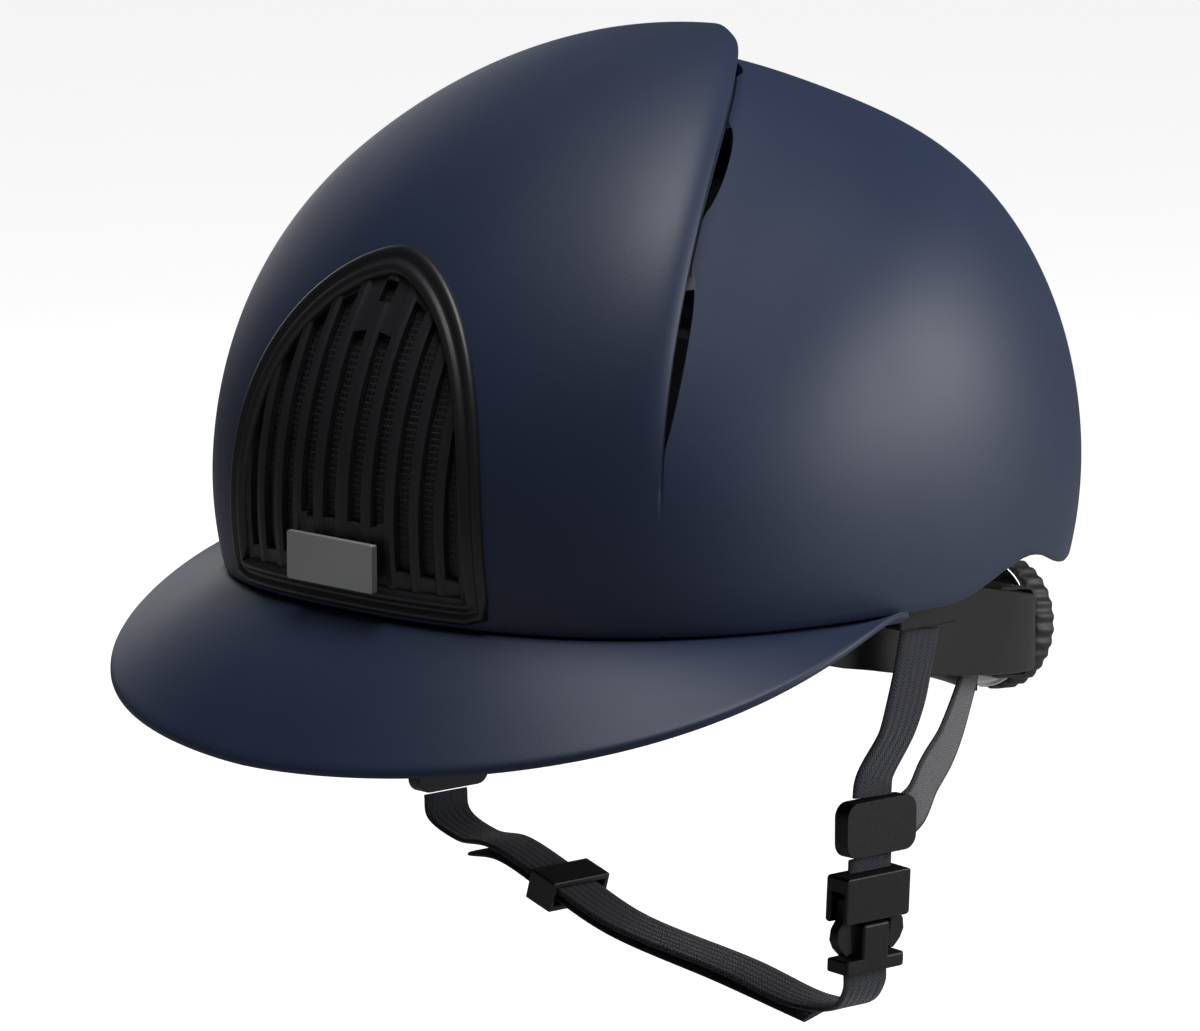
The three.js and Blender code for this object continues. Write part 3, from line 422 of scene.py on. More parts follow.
# ---- Front grille ----
# A black moulded grille let into the front of the shell: upright bars that follow the dome inside an
# arched double rim, with a fine wire mesh behind. A plain plate sits where a badge would go.
BAR_TOP, BAR_FOOT, BAR_HALF = 88.0, 8.0, 44.5


def front_place(x, z, depth):
    """The point over (x, z) on the front section, and its outward normal."""
    rise = math.asin(min(0.999, (z - WIDEST_LEVEL) / DOME_RISE))
    level = math.cos(rise)
    power = 2 / (2 + SQUARENESS * level * level)
    side = min(1.0, abs(x) / (HALF_WIDTH * level))
    angle = math.copysign(math.asin(side ** (1 / power)), x)
    place = dome_point(angle, rise)
    normal = surface_normal(dome_point, angle if abs(angle) > 1e-4 else 1e-4, rise)
    return place + normal * (section_offset(place, True) - depth), normal


def arch_height(x, half, top, foot):
    share = min(1.0, abs(x) / half)
    return foot + (top - foot) * (1 - share ** (1 / 0.62)) ** (1 / 3.2)


slot_edges = []
for k, (centre, half_width) in enumerate([(5.0, 2.6), (14.0, 2.6), (22.8, 2.6), (31.4, 2.5), (39.3, 2.0)]):
    slot_edges.append((centre - half_width, centre + half_width, k))
bar_columns = [0.0]
for low, high, _ in slot_edges:
    bar_columns += [low - 0.9, low - 0.25, low, (low + high) / 2, high, high + 0.25, high + 0.9]
bar_columns = sorted({round(min(x, BAR_HALF), 3) for x in bar_columns + [0.8, 1.6, 43.4, BAR_HALF] if x >= 0})
bar_columns = [-x for x in reversed(bar_columns) if x > 0] + bar_columns
BAR_ROWS = 60


def bar_depth(x):
    """Bars are crowned: they fall away by half a millimetre towards each slot."""
    nearest = min(abs(abs(x) - edge) for low, high, _ in slot_edges for edge in (low, high))
    inside = any(low <= abs(x) <= high for low, high, _ in slot_edges)
    return 1.1 if inside else 1.1 - 0.8 * smooth_step(nearest / 1.0)


def bar_grid(extra):
    grid = []
    for j in range(BAR_ROWS + 1):
        row = []
        for x in bar_columns:
            top = arch_height(x, 47.5, BAR_TOP + 3.0, BAR_FOOT)
            row.append(front_place(x, BAR_FOOT + (top - BAR_FOOT) * j / BAR_ROWS, bar_depth(x) + extra)[0])
        grid.append(row)
    return grid


def bars_keep(i, j):
    x = (bar_columns[i] + bar_columns[i + 1]) / 2
    share = (j + 0.5) / BAR_ROWS
    z = BAR_FOOT + (arch_height(x, 47.5, BAR_TOP + 3.0, BAR_FOOT) - BAR_FOOT) * share
    if abs(x) < 2.3 and 0.89 < share < 0.955:
        return False
    for low, high, k in slot_edges:
        if low < abs(x) < high:
            start = 24.5 if k < 2 else 12.5
            end = 0.80 if k == 0 else 0.93
            return not (z > start and share < end)
    return True


bar_black = grained_material("grille_bar_black", (0.013, 0.0135, 0.0165), (0.017, 0.0175, 0.021), 0.45, 0.05,
                             1000.0, 0.2)
bars = grid_solid("grille_bars", bar_grid(0.0), bar_grid(1.6), bars_keep)
bars.data.materials.append(bar_black)
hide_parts("front_grille")
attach(bars, "helmet")


def arch_outline(steps):
    """Points of the arch from the foot on the right, over the top, down and back along the foot."""
    side = []
    for k in range(steps + 1):
        z = 6.0 + (91.5 - 6.0) * math.sin(k / steps * math.pi / 2)
        side.append((arch_half(z, 46.6, 91.6, 3.0), z))
    side[-1] = (0.0, 91.6)
    arch = [(-x, z) for x, z in side] + side[-2::-1]
    foot = [(46.6 * (1 - 2 * k / 24), 5.2) for k in range(25)]
    return arch + foot[1:-1]


def rim_grid(profile):
    outline = arch_outline(44)
    count = len(outline)
    grid = []
    for across, height in profile:
        row = []
        for k, (x, z) in enumerate(outline):
            before, after = outline[k - 1], outline[(k + 1) % count]
            tangent = Vector((after[0] - before[0], after[1] - before[1]))
            outward = Vector((-tangent.y, tangent.x)).normalized()
            place, _ = front_place(x + outward.x * across, max(1.2, z + outward.y * across), -height)
            row.append(place)
        grid.append(row)
    return grid


# Across the rim: up from the shell, over the outer ridge, through the groove, over the inner ridge, down.
rim_profile = [(3.6, -0.6), (3.5, 0.5), (3.0, 1.25), (2.2, 1.5), (1.4, 1.3), (0.8, 0.65), (0.2, 0.5),
               (-0.4, 0.65), (-1.0, 1.2), (-1.8, 1.35), (-2.6, 1.1), (-3.2, 0.4), (-3.4, -1.6)]
rim_under = [(across, -2.2 if k > 1 else -1.0) for k, (across, _) in enumerate(rim_profile)]
rim = grid_solid("grille_rim", rim_grid(rim_profile), rim_grid(rim_under), wraps=True)
rim_black = grained_material("grille_rim_black", (0.010, 0.0105, 0.013), (0.014, 0.0145, 0.017), 0.38, 0.04,
                             900.0, 0.12)
rim.data.materials.append(rim_black)
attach(rim, "helmet")

# The wire mesh is woven steel, painted black: two crossing sets of fine wires, with the holes between them painted
# near-black as painted shade.
mesh_material = bpy.data.materials.new("black_wire_mesh")
mesh_material.use_nodes = True
mesh_tree = mesh_material.node_tree
mesh_surface = mesh_tree.nodes["Principled BSDF"]
mesh_place = add_node(mesh_tree, "ShaderNodeTexCoord")
wires = []
for axis in ("X", "Z"):
    wires.append(add_node(mesh_tree, "ShaderNodeTexWave", {"bands_direction": axis, "wave_profile": "SIN"},
                          Vector=mesh_place.outputs["Object"], Scale=190.0).outputs["Fac"])
mesh_wire = add_node(mesh_tree, "ShaderNodeMath", {"operation": "MAXIMUM"}, n0=wires[0], n1=wires[1])
mesh_mask = add_node(mesh_tree, "ShaderNodeMapRange", Value=mesh_wire.outputs[0], From_Min=0.62, From_Max=0.8)
# Between the wires the colour drops to near black: painted shade standing in for the holes.
wire_tone_hole_shade = add_node(mesh_tree, "ShaderNodeMix", {"data_type": "RGBA"}, Factor=mesh_mask.outputs["Result"],
                       n6=(0.0012, 0.0013, 0.0016, 1), n7=(0.012, 0.013, 0.016, 1))
mesh_bump = add_node(mesh_tree, "ShaderNodeBump", Strength=0.8, Distance=0.0004, Height=mesh_mask.outputs["Result"])
mesh_tree.links.new(wire_tone_hole_shade.outputs[2], mesh_surface.inputs["Base Color"])
mesh_tree.links.new(mesh_bump.outputs["Normal"], mesh_surface.inputs["Normal"])
mesh_surface.inputs["Roughness"].default_value = 0.55


def dress_node(name, material, bevel=0.0, segments=2, sharp=40):
    """Gives a CAD piece its finish and, where wanted, softly broken edges."""
    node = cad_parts[name]
    node.data.materials.clear()
    node.data.materials.append(material)
    custom = node.data.attributes.get("custom_normal")
    if custom:
        node.data.attributes.remove(custom)
    node.data.polygons.foreach_set("use_smooth", [True] * len(node.data.polygons))
    node.data.polygons.foreach_set("material_index", [0] * len(node.data.polygons))
    node.modifiers.new("weld", "WELD").merge_threshold = 1e-6
    if bevel:
        edge = node.modifiers.new("broken_edges", "BEVEL")
        edge.width = bevel
        edge.segments = segments
        edge.limit_method = "ANGLE"
        edge.angle_limit = math.radians(sharp)
        edge.harden_normals = True
        edge.use_clamp_overlap = True
    return node


dress_node("front_mesh", mesh_material)
badge_metal = grained_material("badge_metal", (0.42, 0.425, 0.435), (0.50, 0.505, 0.515), 0.4, 0.05, 600.0, 0.08,
                               Metallic=0.6)
dress_node("badge_plate", badge_metal, 0.0006, 3)

# ---- Foam liner and comfort pads ----
# The liner is dark expanded foam, seen from below and through the vents. The pads are soft foam under a
# knitted cover, sewn into channels, and fixed inside it.
foam_material = bpy.data.materials.new("dark_bead_foam")
foam_material.use_nodes = True
foam_tree = foam_material.node_tree
foam_surface = foam_tree.nodes["Principled BSDF"]
foam_place = add_node(foam_tree, "ShaderNodeTexCoord")
foam_beads = add_node(foam_tree, "ShaderNodeTexVoronoi", {"feature": "F1"}, Vector=foam_place.outputs["Object"],
                      Scale=300.0)
# Each bead is lighter in its middle and darker towards its rim: painted shade between the beads.
foam_bead_shade = add_node(foam_tree, "ShaderNodeMix", {"data_type": "RGBA"}, Factor=foam_beads.outputs["Distance"],
                     n6=(0.016, 0.0165, 0.018, 1), n7=(0.008, 0.0082, 0.009, 1))
foam_bump = add_node(foam_tree, "ShaderNodeBump", {"invert": True}, Strength=0.45, Distance=0.0006,
                     Height=foam_beads.outputs["Distance"])
foam_tree.links.new(foam_bead_shade.outputs[2], foam_surface.inputs["Base Color"])
foam_tree.links.new(foam_bump.outputs["Normal"], foam_surface.inputs["Normal"])
foam_surface.inputs["Roughness"].default_value = 0.85
dress_node("eps_liner", foam_material)

knit_material = bpy.data.materials.new("brushed_knit")
knit_material.use_nodes = True
knit_tree = knit_material.node_tree
knit_surface = knit_tree.nodes["Principled BSDF"]
knit_place = add_node(knit_tree, "ShaderNodeTexCoord")
knit_loops = add_node(knit_tree, "ShaderNodeTexVoronoi", {"feature": "SMOOTH_F1"},
                      Vector=knit_place.outputs["Object"], Scale=900.0)
knit_cloud = add_node(knit_tree, "ShaderNodeTexNoise", Vector=knit_place.outputs["Object"], Scale=60.0, Detail=4.0)
knit_tone = add_node(knit_tree, "ShaderNodeMix", {"data_type": "RGBA"}, Factor=knit_cloud.outputs["Fac"],
                     n6=(0.008, 0.0085, 0.011, 1), n7=(0.018, 0.019, 0.024, 1))
knit_bump = add_node(knit_tree, "ShaderNodeBump", {"invert": True}, Strength=0.5, Distance=0.0003,
                     Height=knit_loops.outputs["Distance"])
knit_tree.links.new(knit_tone.outputs[2], knit_surface.inputs["Base Color"])
knit_tree.links.new(knit_bump.outputs["Normal"], knit_surface.inputs["Normal"])
knit_surface.inputs["Roughness"].default_value = 0.92
knit_surface.inputs["Sheen Weight"].default_value = 0.35
knit_surface.inputs["Sheen Roughness"].default_value = 0.5

PAD_DEPTH, PAD_THICK = 19.0, 6.0


def pillow(u, v, channels):
    """Thickness share of a sewn pad: full in the middle, pinched at the hem and along each channel."""
    hem = min(u, 1 - u) * channels * 2.2, min(v, 1 - v) * 6.0
    edge = min(1.0, hem[0]) ** 0.5 * min(1.0, hem[1]) ** 0.5
    phase = u * channels - math.floor(u * channels)
    sewn = 1 - 0.4 * math.exp(-((min(phase, 1 - phase) / 0.06) ** 2))
    return max(0.12, edge * sewn)


def make_pad(node, from_angle, to_angle, low, high, channels, columns, rows):
    def surface(share_u, share_v, inset):
        angle = from_angle + (to_angle - from_angle) * share_u
        rise = math.asin((low + (high - low) * share_v - WIDEST_LEVEL) / DOME_RISE)
        return dome_point(angle, rise) - surface_normal(dome_point, angle, rise) * inset

    outer, inner = [], []
    for j in range(rows + 1):
        v = j / rows
        outer.append([surface(i / columns, v, PAD_DEPTH) for i in range(columns + 1)])
        inner.append([surface(i / columns, v, PAD_DEPTH + PAD_THICK * pillow(i / columns, v, channels))
                      for i in range(columns + 1)])
    pad = grid_solid(node + "_cover", outer, inner)
    pad.data.materials.append(knit_material)
    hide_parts(node)
    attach(pad, "helmet")
    return pad


make_pad("headband_pad", -0.95, 0.95, 6, 38, 5, 90, 20)
make_pad("side_pad_left", 1.12, 1.95, 20, 50, 3, 48, 18)
make_pad("side_pad_right", -1.95, -1.12, 20, 50, 3, 48, 18)
make_pad("rear_pad", math.pi - 0.8, math.pi + 0.8, 10, 44, 4, 70, 20)

crown_rings = 16


def crown_grid(inset):
    grid = []
    for j in range(crown_rings + 1):
        rise = 1.05 + (1.55 - 1.05) * j / crown_rings
        row = []
        for i in range(64):
            angle = 2 * math.pi * i / 64
            lobes = 1 - 0.35 * math.exp(-((((i / 64 * 6) % 1) - 0.5) / 0.06) ** 2) * (1 - j / crown_rings)
            thick = PAD_THICK * min(1.0, 0.15 + j / crown_rings * 4) ** 0.5 * lobes
            depth = PAD_DEPTH + (thick if inset else 0.0)
            row.append(dome_point(angle, rise) - surface_normal(dome_point, angle, rise) * depth)
        grid.append(row)
    return grid


crown_pad = grid_solid("crown_pad_cover", crown_grid(False), crown_grid(True), wraps=True, capped=True)
crown_pad.data.materials.append(knit_material)
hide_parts("crown_pad")
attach(crown_pad, "helmet")

# ---- Nape cradle ----
# Two moulded arms run from pins at the temples round to the dial housing, which a padded plate backs.
# They are black polypropylene with a fine grain.
for node in ("cradle_arm_left", "cradle_arm_right"):
    dress_node(node, moulded_black, 0.0005, 2)
for node in ("cradle_pin_left", "cradle_pin_right", "nape_plate", "rack_left", "rack_right", "dial_pinion"):
    dress_node(node, moulded_black, 0.0003, 2)
nape_low, nape_high = (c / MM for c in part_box("nape_pad"))


def nape_grid(full):
    """The pad follows the plate in front of it, crowned towards the neck."""
    grid = []
    for j in range(17):
        v = j / 16
        row = []
        for i in range(49):
            u = i / 48
            x = nape_low.x + (nape_high.x - nape_low.x) * u
            z = nape_low.z + (nape_high.z - nape_low.z) * v
            curve = 7.4 * (x / nape_high.x) ** 2
            back = nape_high.y - 0.2 - curve
            y = back - (PAD_THICK * pillow(u, v, 3) if full else 0.0)
            row.append(Vector((x, y, z)))
        grid.append(row)
    return grid


nape_pad = grid_solid("nape_pad_cover", nape_grid(True), nape_grid(False))
nape_pad.data.materials.append(knit_material)
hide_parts("nape_pad")
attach(nape_pad, "cradle")

# ---- Size dial ----
# A fluted knob in soft black rubber turns a small pinion in the housing and draws the two racks in. A
# polished ring shows between knob and housing.
dress_node("dial_housing", moulded_black, 0.0012, 3, 50)
soft_rubber = grained_material("soft_rubber", (0.009, 0.009, 0.0095), (0.013, 0.013, 0.0135), 0.55, 0.05, 800.0, 0.3)
DIAL_PLACE, DIAL_TILT = Vector((0, 116, -31)), Matrix.Rotation(math.radians(-6), 3, "X")
KNOB_FACE, KNOB_BACK, KNOB_LOBES, LOBE_TALL = 19.8, 28.4, 30, 0.35


def turned_piece(name, node, outside, inside, material):
    """Turned about the dial's axle from (radius, distance back, share of the flutes) along each face."""
    grids = []
    for profile in (outside, inside):
        grids.append([])
        for radius, reach, flute in profile:
            row = []
            for k in range(240):
                angle = 2 * math.pi * k / 240
                r = radius + LOBE_TALL * flute * math.cos(KNOB_LOBES * angle)
                row.append(DIAL_PLACE + DIAL_TILT @ Vector((r * math.cos(angle), reach, -r * math.sin(angle))))
            grids[-1].append(row)
    piece = grid_solid(name, grids[0], grids[1], wraps=True)
    piece.data.materials.append(material)
    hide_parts(node)
    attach(piece, "dial")
    return piece


knob_outside = [(3.4, 16.6, 0), (8.9, 16.6, 0), (9.0, KNOB_FACE, 0), (16.0, KNOB_FACE, 0), (17.4, KNOB_FACE, 0.3),
                (18.3, KNOB_FACE + 0.4, 0.7), (18.8, KNOB_FACE + 1.3, 1), (18.9, KNOB_FACE + 4.2, 1),
                (18.8, KNOB_BACK - 1.5, 1), (18.4, KNOB_BACK - 0.6, 0.8), (17.6, KNOB_BACK - 0.1, 0.4),
                (16.6, KNOB_BACK, 0), (15.0, KNOB_BACK, 0), (14.2, KNOB_BACK - 0.3, 0), (13.7, KNOB_BACK - 1.3, 0),
                (12.8, KNOB_BACK - 1.5, 0), (0.02, KNOB_BACK - 1.5, 0)]
knob_inside = [(3.4, 17.6, 0), (8.0, 17.6, 0), (8.1, KNOB_FACE + 1, 0), (16.0, KNOB_FACE + 1, 0),
               (16.4, KNOB_FACE + 1.1, 0), (16.7, KNOB_FACE + 1.3, 0), (16.9, KNOB_FACE + 1.7, 0),
               (17.0, KNOB_FACE + 4.2, 0), (16.9, KNOB_BACK - 2.6, 0), (16.6, KNOB_BACK - 1.9, 0),
               (16.2, KNOB_BACK - 1.6, 0), (15.8, KNOB_BACK - 1.5, 0), (15.3, KNOB_BACK - 1.5, 0),
               (14.9, KNOB_BACK - 1.7, 0), (14.3, KNOB_BACK - 2.5, 0), (13.0, KNOB_BACK - 2.6, 0),
               (0.02, KNOB_BACK - 2.6, 0)]
knob = turned_piece("dial_knob_fluted", "dial_knob", knob_outside, knob_inside, soft_rubber)
polished = grained_material("polished_trim", (0.74, 0.74, 0.76), (0.8, 0.8, 0.82), 0.14, 0.03, 700.0, 0.02,
                            Metallic=1.0)
ring_outside = [(9.6, 17.0, 0), (16.6, 17.0, 0), (17.6, 17.2, 0), (18.2, 17.7, 0), (18.4, 18.25, 0), (18.2, 18.8, 0),
                (17.6, 19.3, 0), (16.6, 19.5, 0), (9.6, 19.5, 0)]
ring_inside = [(9.6, 17.5, 0), (16.5, 17.5, 0), (17.2, 17.6, 0), (17.6, 17.9, 0), (17.8, 18.25, 0), (17.6, 18.6, 0),
               (17.2, 18.9, 0), (16.5, 19.0, 0), (9.6, 19.0, 0)]
ring = turned_piece("dial_ring_polished", "dial_trim_ring", ring_outside, ring_inside, polished)

# ---- Harness ----
# Woven polyester webbing: a front and a rear strap on each side meet at a divider, and the chin strap
# runs from the far divider to the buckle. Each strap is a flat weave with thicker selvedges.
weave_group, weave_in, weave_out = node_group(
    "webbing_weave",
    [("Threads per metre", "NodeSocketFloat", 900.0), ("Height", "NodeSocketFloat", 0.6)],
    [("Normal", "NodeSocketVector"), ("Thread", "NodeSocketFloat"), ("Selvedge", "NodeSocketFloat")],
)
weave_uv = add_node(weave_group, "ShaderNodeUVMap", {"uv_map": "along"})
weave_split = add_node(weave_group, "ShaderNodeSeparateXYZ", Vector=weave_uv.outputs["UV"])
weave_rows = []
for across_sign in (1.0, -1.0):
    side = add_node(weave_group, "ShaderNodeMath", {"operation": "MULTIPLY"}, n0=weave_split.outputs["X"],
                    n1=across_sign)
    slant = add_node(weave_group, "ShaderNodeMath", {"operation": "ADD"}, n0=side.outputs[0],
                     n1=weave_split.outputs["Y"])
    turns = add_node(weave_group, "ShaderNodeMath", {"operation": "MULTIPLY"}, n0=slant.outputs[0],
                     n1=weave_in.outputs["Threads per metre"])
    angle = add_node(weave_group, "ShaderNodeMath", {"operation": "MULTIPLY"}, n0=turns.outputs[0], n1=math.tau)
    weave_rows.append(add_node(weave_group, "ShaderNodeMath", {"operation": "SINE"}, n0=angle.outputs[0]).outputs[0])
centre_line = add_node(weave_group, "ShaderNodeMath", {"operation": "PINGPONG"}, n0=weave_split.outputs["X"],
                       n1=0.0012)
zigzag = add_node(weave_group, "ShaderNodeMath", {"operation": "GREATER_THAN"}, n0=centre_line.outputs[0], n1=0.0006)
weave_pick = add_node(weave_group, "ShaderNodeMix", Factor=zigzag.outputs[0], n2=weave_rows[0], n3=weave_rows[1])
weave_height = add_node(weave_group, "ShaderNodeMapRange", Value=weave_pick.outputs[0], From_Min=-1.0, From_Max=1.0)
weave_bump = add_node(weave_group, "ShaderNodeBump", Strength=weave_in.outputs["Height"], Distance=0.0003,
                      Height=weave_height.outputs["Result"])
weave_side = add_node(weave_group, "ShaderNodeMath", {"operation": "ABSOLUTE"}, n0=weave_split.outputs["X"])
weave_edge = add_node(weave_group, "ShaderNodeMapRange", Value=weave_side.outputs[0], From_Min=0.0048,
                      From_Max=0.0056)
weave_group.links.new(weave_bump.outputs["Normal"], weave_out.inputs["Normal"])
weave_group.links.new(weave_height.outputs["Result"], weave_out.inputs["Thread"])
weave_group.links.new(weave_edge.outputs["Result"], weave_out.inputs["Selvedge"])


def webbing_material(name, valley_shade, thread, selvedge):
    material = bpy.data.materials.new(name)
    material.use_nodes = True
    tree = material.node_tree
    surface = tree.nodes["Principled BSDF"]
    weave = add_node(tree, "ShaderNodeGroup", {"node_tree": weave_group}, Threads_per_metre=1050.0, Height=0.6)
    # The colour follows the weave height, darker in the valleys: painted shade between the threads.
    body = add_node(tree, "ShaderNodeMix", {"data_type": "RGBA"}, Factor=weave.outputs["Thread"],
                    n6=(*valley_shade, 1), n7=(*thread, 1))
    banded = add_node(tree, "ShaderNodeMix", {"data_type": "RGBA"}, Factor=weave.outputs["Selvedge"],
                      n6=body.outputs[2], n7=(*selvedge, 1))
    tree.links.new(banded.outputs[2], surface.inputs["Base Color"])
    tree.links.new(weave.outputs["Normal"], surface.inputs["Normal"])
    surface.inputs["Roughness"].default_value = 0.8
    surface.inputs["Sheen Weight"].default_value = 0.25
    surface.inputs["Sheen Roughness"].default_value = 0.4
    return material


dark_webbing = webbing_material("navy_webbing", (0.014, 0.016, 0.024), (0.034, 0.037, 0.054), (0.018, 0.020, 0.030))
# The rear straps are dark webbing, as their selvedges show; the lighter grey over the face is painted sheen.
webbing_painted_sheen = webbing_material("webbing_painted_sheen", (0.10, 0.097, 0.105), (0.19, 0.183, 0.198), (0.030, 0.030, 0.036))


def spline_points(points, steps):
    """Even steps along a centripetal spline through the points, with the tangent at each."""
    knots = [Vector(p) for p in points]
    ends = [2 * knots[0] - knots[1]] + knots + [2 * knots[-1] - knots[-2]]
    fine = []
    for k in range(1, len(ends) - 2):
        p0, p1, p2, p3 = ends[k - 1:k + 3]
        d0, d1, d2 = (max((b - a).length, 1e-4) ** 0.5 for a, b in ((p0, p1), (p1, p2), (p2, p3)))
        m1 = ((p1 - p0) / d0 - (p2 - p0) / (d0 + d1) + (p2 - p1) / d1) * d1
        m2 = ((p2 - p1) / d1 - (p3 - p1) / (d1 + d2) + (p3 - p2) / d2) * d1
        for s in range(40):
            t = s / 40
            fine.append(p1 * (2 * t ** 3 - 3 * t ** 2 + 1) + m1 * (t ** 3 - 2 * t ** 2 + t)
                        + p2 * (3 * t ** 2 - 2 * t ** 3) + m2 * (t ** 3 - t ** 2))
    fine.append(knots[-1])
    lengths = [0.0]
    for a, b in zip(fine, fine[1:]):
        lengths.append(lengths[-1] + (b - a).length)
    found, k = [], 0
    for s in range(steps + 1):
        goal = lengths[-1] * s / steps
        while k < len(fine) - 2 and lengths[k + 1] < goal:
            k += 1
        share = (goal - lengths[k]) / max(lengths[k + 1] - lengths[k], 1e-9)
        found.append((fine[k].lerp(fine[k + 1], share), (fine[k + 1] - fine[k]).normalized(), goal))
    return found


WEB_WIDTH, WEB_THICK = 16.0, 1.6
WEB_SECTION = [-1.0, -0.985, -0.93, -0.8, -0.55, -0.25, 0.0, 0.25, 0.55, 0.8, 0.93, 0.985, 1.0]


def make_strap(name, node, body, points, across, material, width=WEB_WIDTH, steps=80, slack=0.0):
    start, end = (Vector(a).normalized() for a in across)
    line = spline_points(points, steps)
    faces = {1: [], -1: []}
    for s, (centre, along, _) in enumerate(line):
        wide = start.lerp(end, s / steps)
        wide = (wide - along * wide.dot(along)).normalized()
        face = along.cross(wide).normalized()
        ripple = slack * math.sin(s / steps * 19) * math.sin(math.pi * s / steps)
        for sign in (1, -1):
            row = []
            for share in WEB_SECTION:
                crown = max(0.0, 1 - share ** 10) ** 0.5
                selvedge = 0.12 * math.exp(-(((abs(share) - 0.9) / 0.05) ** 2))
                thick = WEB_THICK / 2 * max(0.25, crown) * (0.86 + selvedge)
                row.append(centre + wide * share * width / 2 + face * (sign * thick + ripple))
            faces[sign].append(row)
    total = [goal for _, _, goal in line]
    strap = grid_solid(name, faces[-1], faces[1],
                       uv=lambda side, i, j: (WEB_SECTION[i] * width / 2 * MM, total[j] * MM))
    strap.data.materials.append(material)
    if node:
        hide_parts(node)
    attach(strap, body)
    return strap


BACKWARD = (0, 1, 0)
DIVIDERS = {"left": (1, (78, 13, -62.5)), "right": (-1, (-77, -2, -66))}
DIVIDER_TALL, DIVIDER_WIDE = 15.0, 26.0
for side, (mirror, (x, y, z)) in DIVIDERS.items():
    make_strap(
        f"front_strap_{side}_web", f"front_strap_{side}", "helmet",
        [(mirror * 93, 14, -7), (mirror * 91, 13, -20), (x + mirror * 5, y + 3, z + 26),
         (x + mirror * 0.6, y - 1.3, z + DIVIDER_TALL / 2 + 5.8), (x, y - 1.5, z + DIVIDER_TALL / 2 + 0.8)], (BACKWARD, BACKWARD), dark_webbing, 14.5)
    make_strap(
        f"rear_strap_{side}_web", f"rear_strap_{side}", "helmet",
        [(mirror * 64, 65.5, 1), (mirror * 63, 66, -10), (mirror * 62.5, 66, -24), (mirror * 64, 60, -36.5),
         (mirror * 69, 49, -46.5), (mirror * 74, 37, -53), (x - mirror * 0.4, y + DIVIDER_WIDE / 2 + 2.2, z + 3),
         (x, y + DIVIDER_WIDE / 2 - 5, z)],
        ((mirror * -0.5, 0.85, 0), (0, 0.45, -0.9)), webbing_painted_sheen, 13.0)
for node in ("divider_left", "divider_right"):
    dress_node(node, moulded_black, 0.001, 3)
for node in ("strap_anchor_left", "strap_anchor_right", "rear_anchor_left", "rear_anchor_right"):
    dress_node(node, moulded_black, 0.0008, 2)

# ---- Buckle and chin strap ----
# A side-release buckle in black acetal: two sprung prongs hold the plug in the socket. The chin strap
# doubles back on itself, and a soft loop keeps its free end.
BUCKLE_PLACE, CHIN_PIVOT = Vector((76, 12, -88)), Vector((-76, -4, -80))
SOCKET_LENGTH, PLUG_FOOT = 13.0, -14.7
out_of_face = (BUCKLE_PLACE - Vector((CHIN_PIVOT.x, BUCKLE_PLACE.y, CHIN_PIVOT.z))).normalized()
up_socket = out_of_face.cross(Vector(BACKWARD))


def in_buckle(height):
    return BUCKLE_PLACE + up_socket * height


for node in ("buckle_socket", "buckle_plug"):
    dress_node(node, moulded_black, 0.0009, 3)
for node in ("release_prong_front", "release_prong_rear"):
    dress_node(node, moulded_black, 0.0005, 2)
make_strap("buckle_strap_web", "buckle_strap", "helmet", [in_buckle(SOCKET_LENGTH + 0.4), in_buckle(SOCKET_LENGTH + 4)],
           (BACKWARD, BACKWARD), dark_webbing, steps=6)
KEEPER_PLACE = Vector((-22, -7, -91))
KEEPER_ALONG = Vector((30, 0, -9)).normalized()
LAYER_PITCH = WEB_THICK + 0.5


def along_keeper(distance, drop=0.0):
    return KEEPER_PLACE + KEEPER_ALONG * distance - Vector((0, 0, drop))


px, py, pz = CHIN_PIVOT
make_strap(
    "chin_strap_web", "chin_strap", "chin",
    [(px, py, DIVIDERS["right"][1][2] - DIVIDER_TALL / 2 - 0.7), (px + 1, py, pz), (px + 14, py - 1, pz - 4.4),
     along_keeper(-25), along_keeper(0), along_keeper(25), (36, 2, -106.5), (58, 9, -113.5), (70.5, 12, -112.5),
     in_buckle(PLUG_FOOT - 4), in_buckle(PLUG_FOOT)], (BACKWARD, BACKWARD), dark_webbing, steps=150)
make_strap(
    "strap_tail_web", "strap_tail", "chin",
    [(60, 9.5, -116.6), (36, 2, -106.5 - LAYER_PITCH - 0.6), along_keeper(25, LAYER_PITCH),
     along_keeper(0, LAYER_PITCH), along_keeper(-22, LAYER_PITCH), along_keeper(-34, LAYER_PITCH + 4)],
    (BACKWARD, BACKWARD), dark_webbing, steps=110)
dress_node("strap_keeper", soft_rubber, 0.0006, 3)

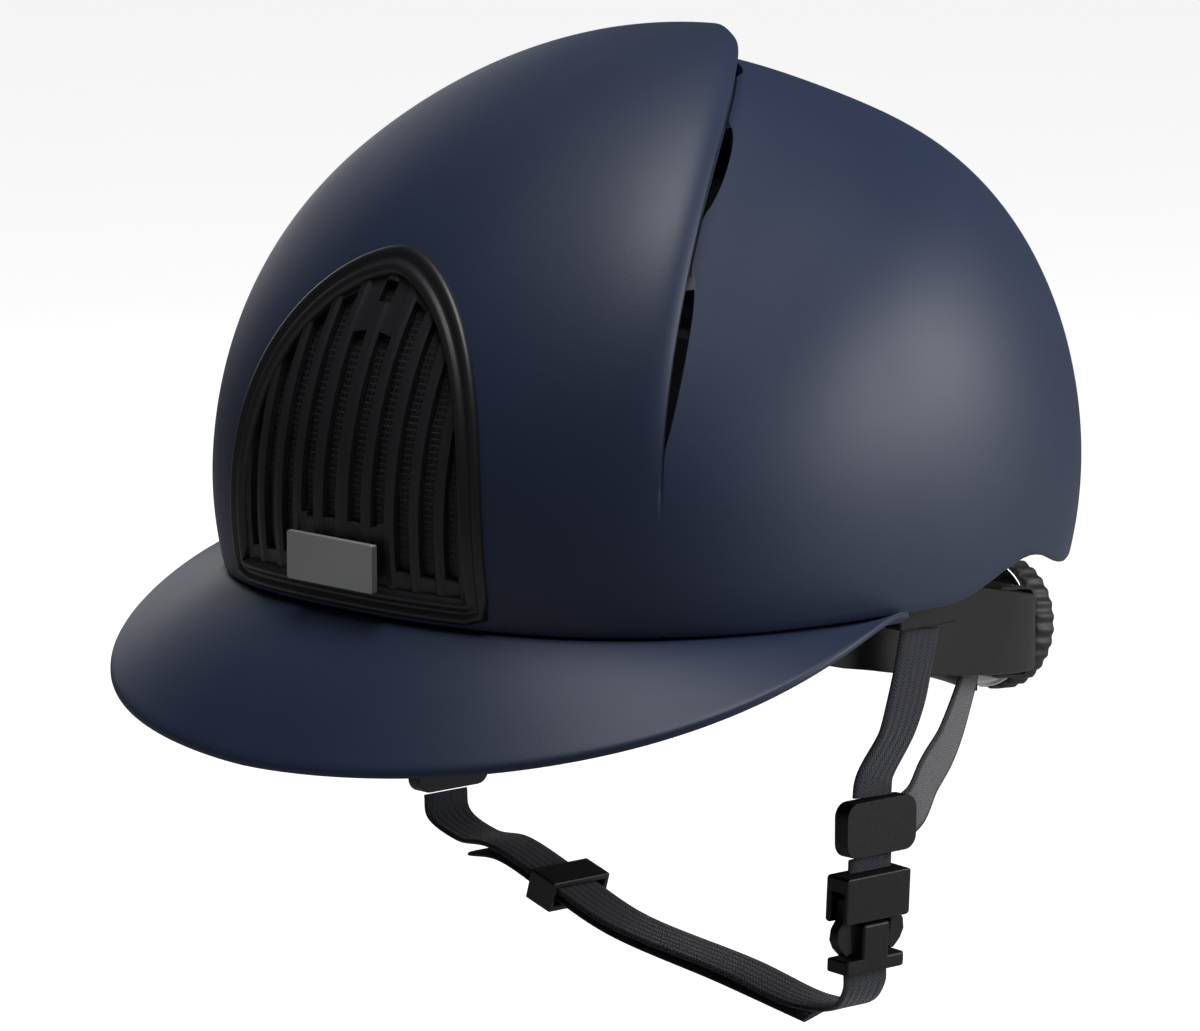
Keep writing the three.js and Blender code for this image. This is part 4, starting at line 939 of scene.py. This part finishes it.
# ---- Floor, lights and camera ----
# A pale seamless floor under broad soft lights, and the camera at the front left. The floor lies low
# enough for the open chin strap to hang clear of it.
FLOOR_DROP = 0.112
floor_mesh = bpy.data.meshes.new("pale_floor")
floor_z = cad_bounds[0].z - FLOOR_DROP
floor_mesh.from_pydata([(-6, -6, floor_z), (6, -6, floor_z), (6, 6, floor_z), (-6, 6, floor_z)], [], [[0, 1, 2, 3]])
floor = bpy.data.objects.new("pale_floor", floor_mesh)
bpy.context.scene.collection.objects.link(floor)
floor_material = grained_material("pale_floor", (0.40, 0.40, 0.40), (0.42, 0.42, 0.42), 0.8, 0.02, 300.0, 0.0)
floor_tree = floor_material.node_tree
floor_seen = add_node(floor_tree, "ShaderNodeLightPath")
floor_glow = add_node(floor_tree, "ShaderNodeMix", {"data_type": "RGBA"}, Factor=floor_seen.outputs["Is Camera Ray"],
                      n6=(0, 0, 0, 1), n7=(0.86, 0.86, 0.87, 1))
floor_tree.links.new(floor_glow.outputs[2], floor_tree.nodes["Principled BSDF"].inputs["Emission Color"])
floor_tree.nodes["Principled BSDF"].inputs["Emission Strength"].default_value = 1.0
floor_mesh.materials.append(floor_material)

world = bpy.data.worlds.new("soft_studio")
bpy.context.scene.world = world
bpy.context.scene.view_settings.view_transform = "Standard"
world.use_nodes = True
world.node_tree.nodes["Background"].inputs["Color"].default_value = (1, 1, 1, 1)
world.node_tree.nodes["Background"].inputs["Strength"].default_value = 0.05


def add_light(name, place, aim, size, power):
    data = bpy.data.lights.new(name, "AREA")
    data.shape = "DISK"
    data.size = size
    data.energy = power
    light = bpy.data.objects.new(name, data)
    light.location = place
    light.rotation_mode = "QUATERNION"
    light.rotation_quaternion = (Vector(aim) - Vector(place)).to_track_quat("-Z", "Y")
    bpy.context.scene.collection.objects.link(light)


add_light("overhead", (0.25, -0.15, 2.1), (0, 0, 0.05), 1.3, 34)
add_light("rear_side", (1.45, 1.5, 0.65), (0, 0.05, 0.05), 1.3, 34)
add_light("far_side", (-1.8, 0.7, 0.5), (0, 0, 0.06), 1.0, 3.5)

azimuth, elevation = math.radians(47.14), math.radians(9.64)
back = Vector((math.sin(azimuth) * math.cos(elevation), -math.cos(azimuth) * math.cos(elevation),
               math.sin(elevation)))
right = Vector((math.cos(azimuth), math.sin(azimuth), 0))
camera_data = bpy.data.cameras.new("camera")
camera_data.lens = 223.5
camera_data.clip_end = 30
camera = bpy.data.objects.new("camera", camera_data)
camera.location = right * -0.0112 + Vector((0, 0, 0.0134)) + back * 2.029
camera.rotation_mode = "QUATERNION"
camera.rotation_quaternion = (-back).to_track_quat("-Z", "Y")
bpy.context.scene.collection.objects.link(camera)
bpy.context.scene.camera = camera
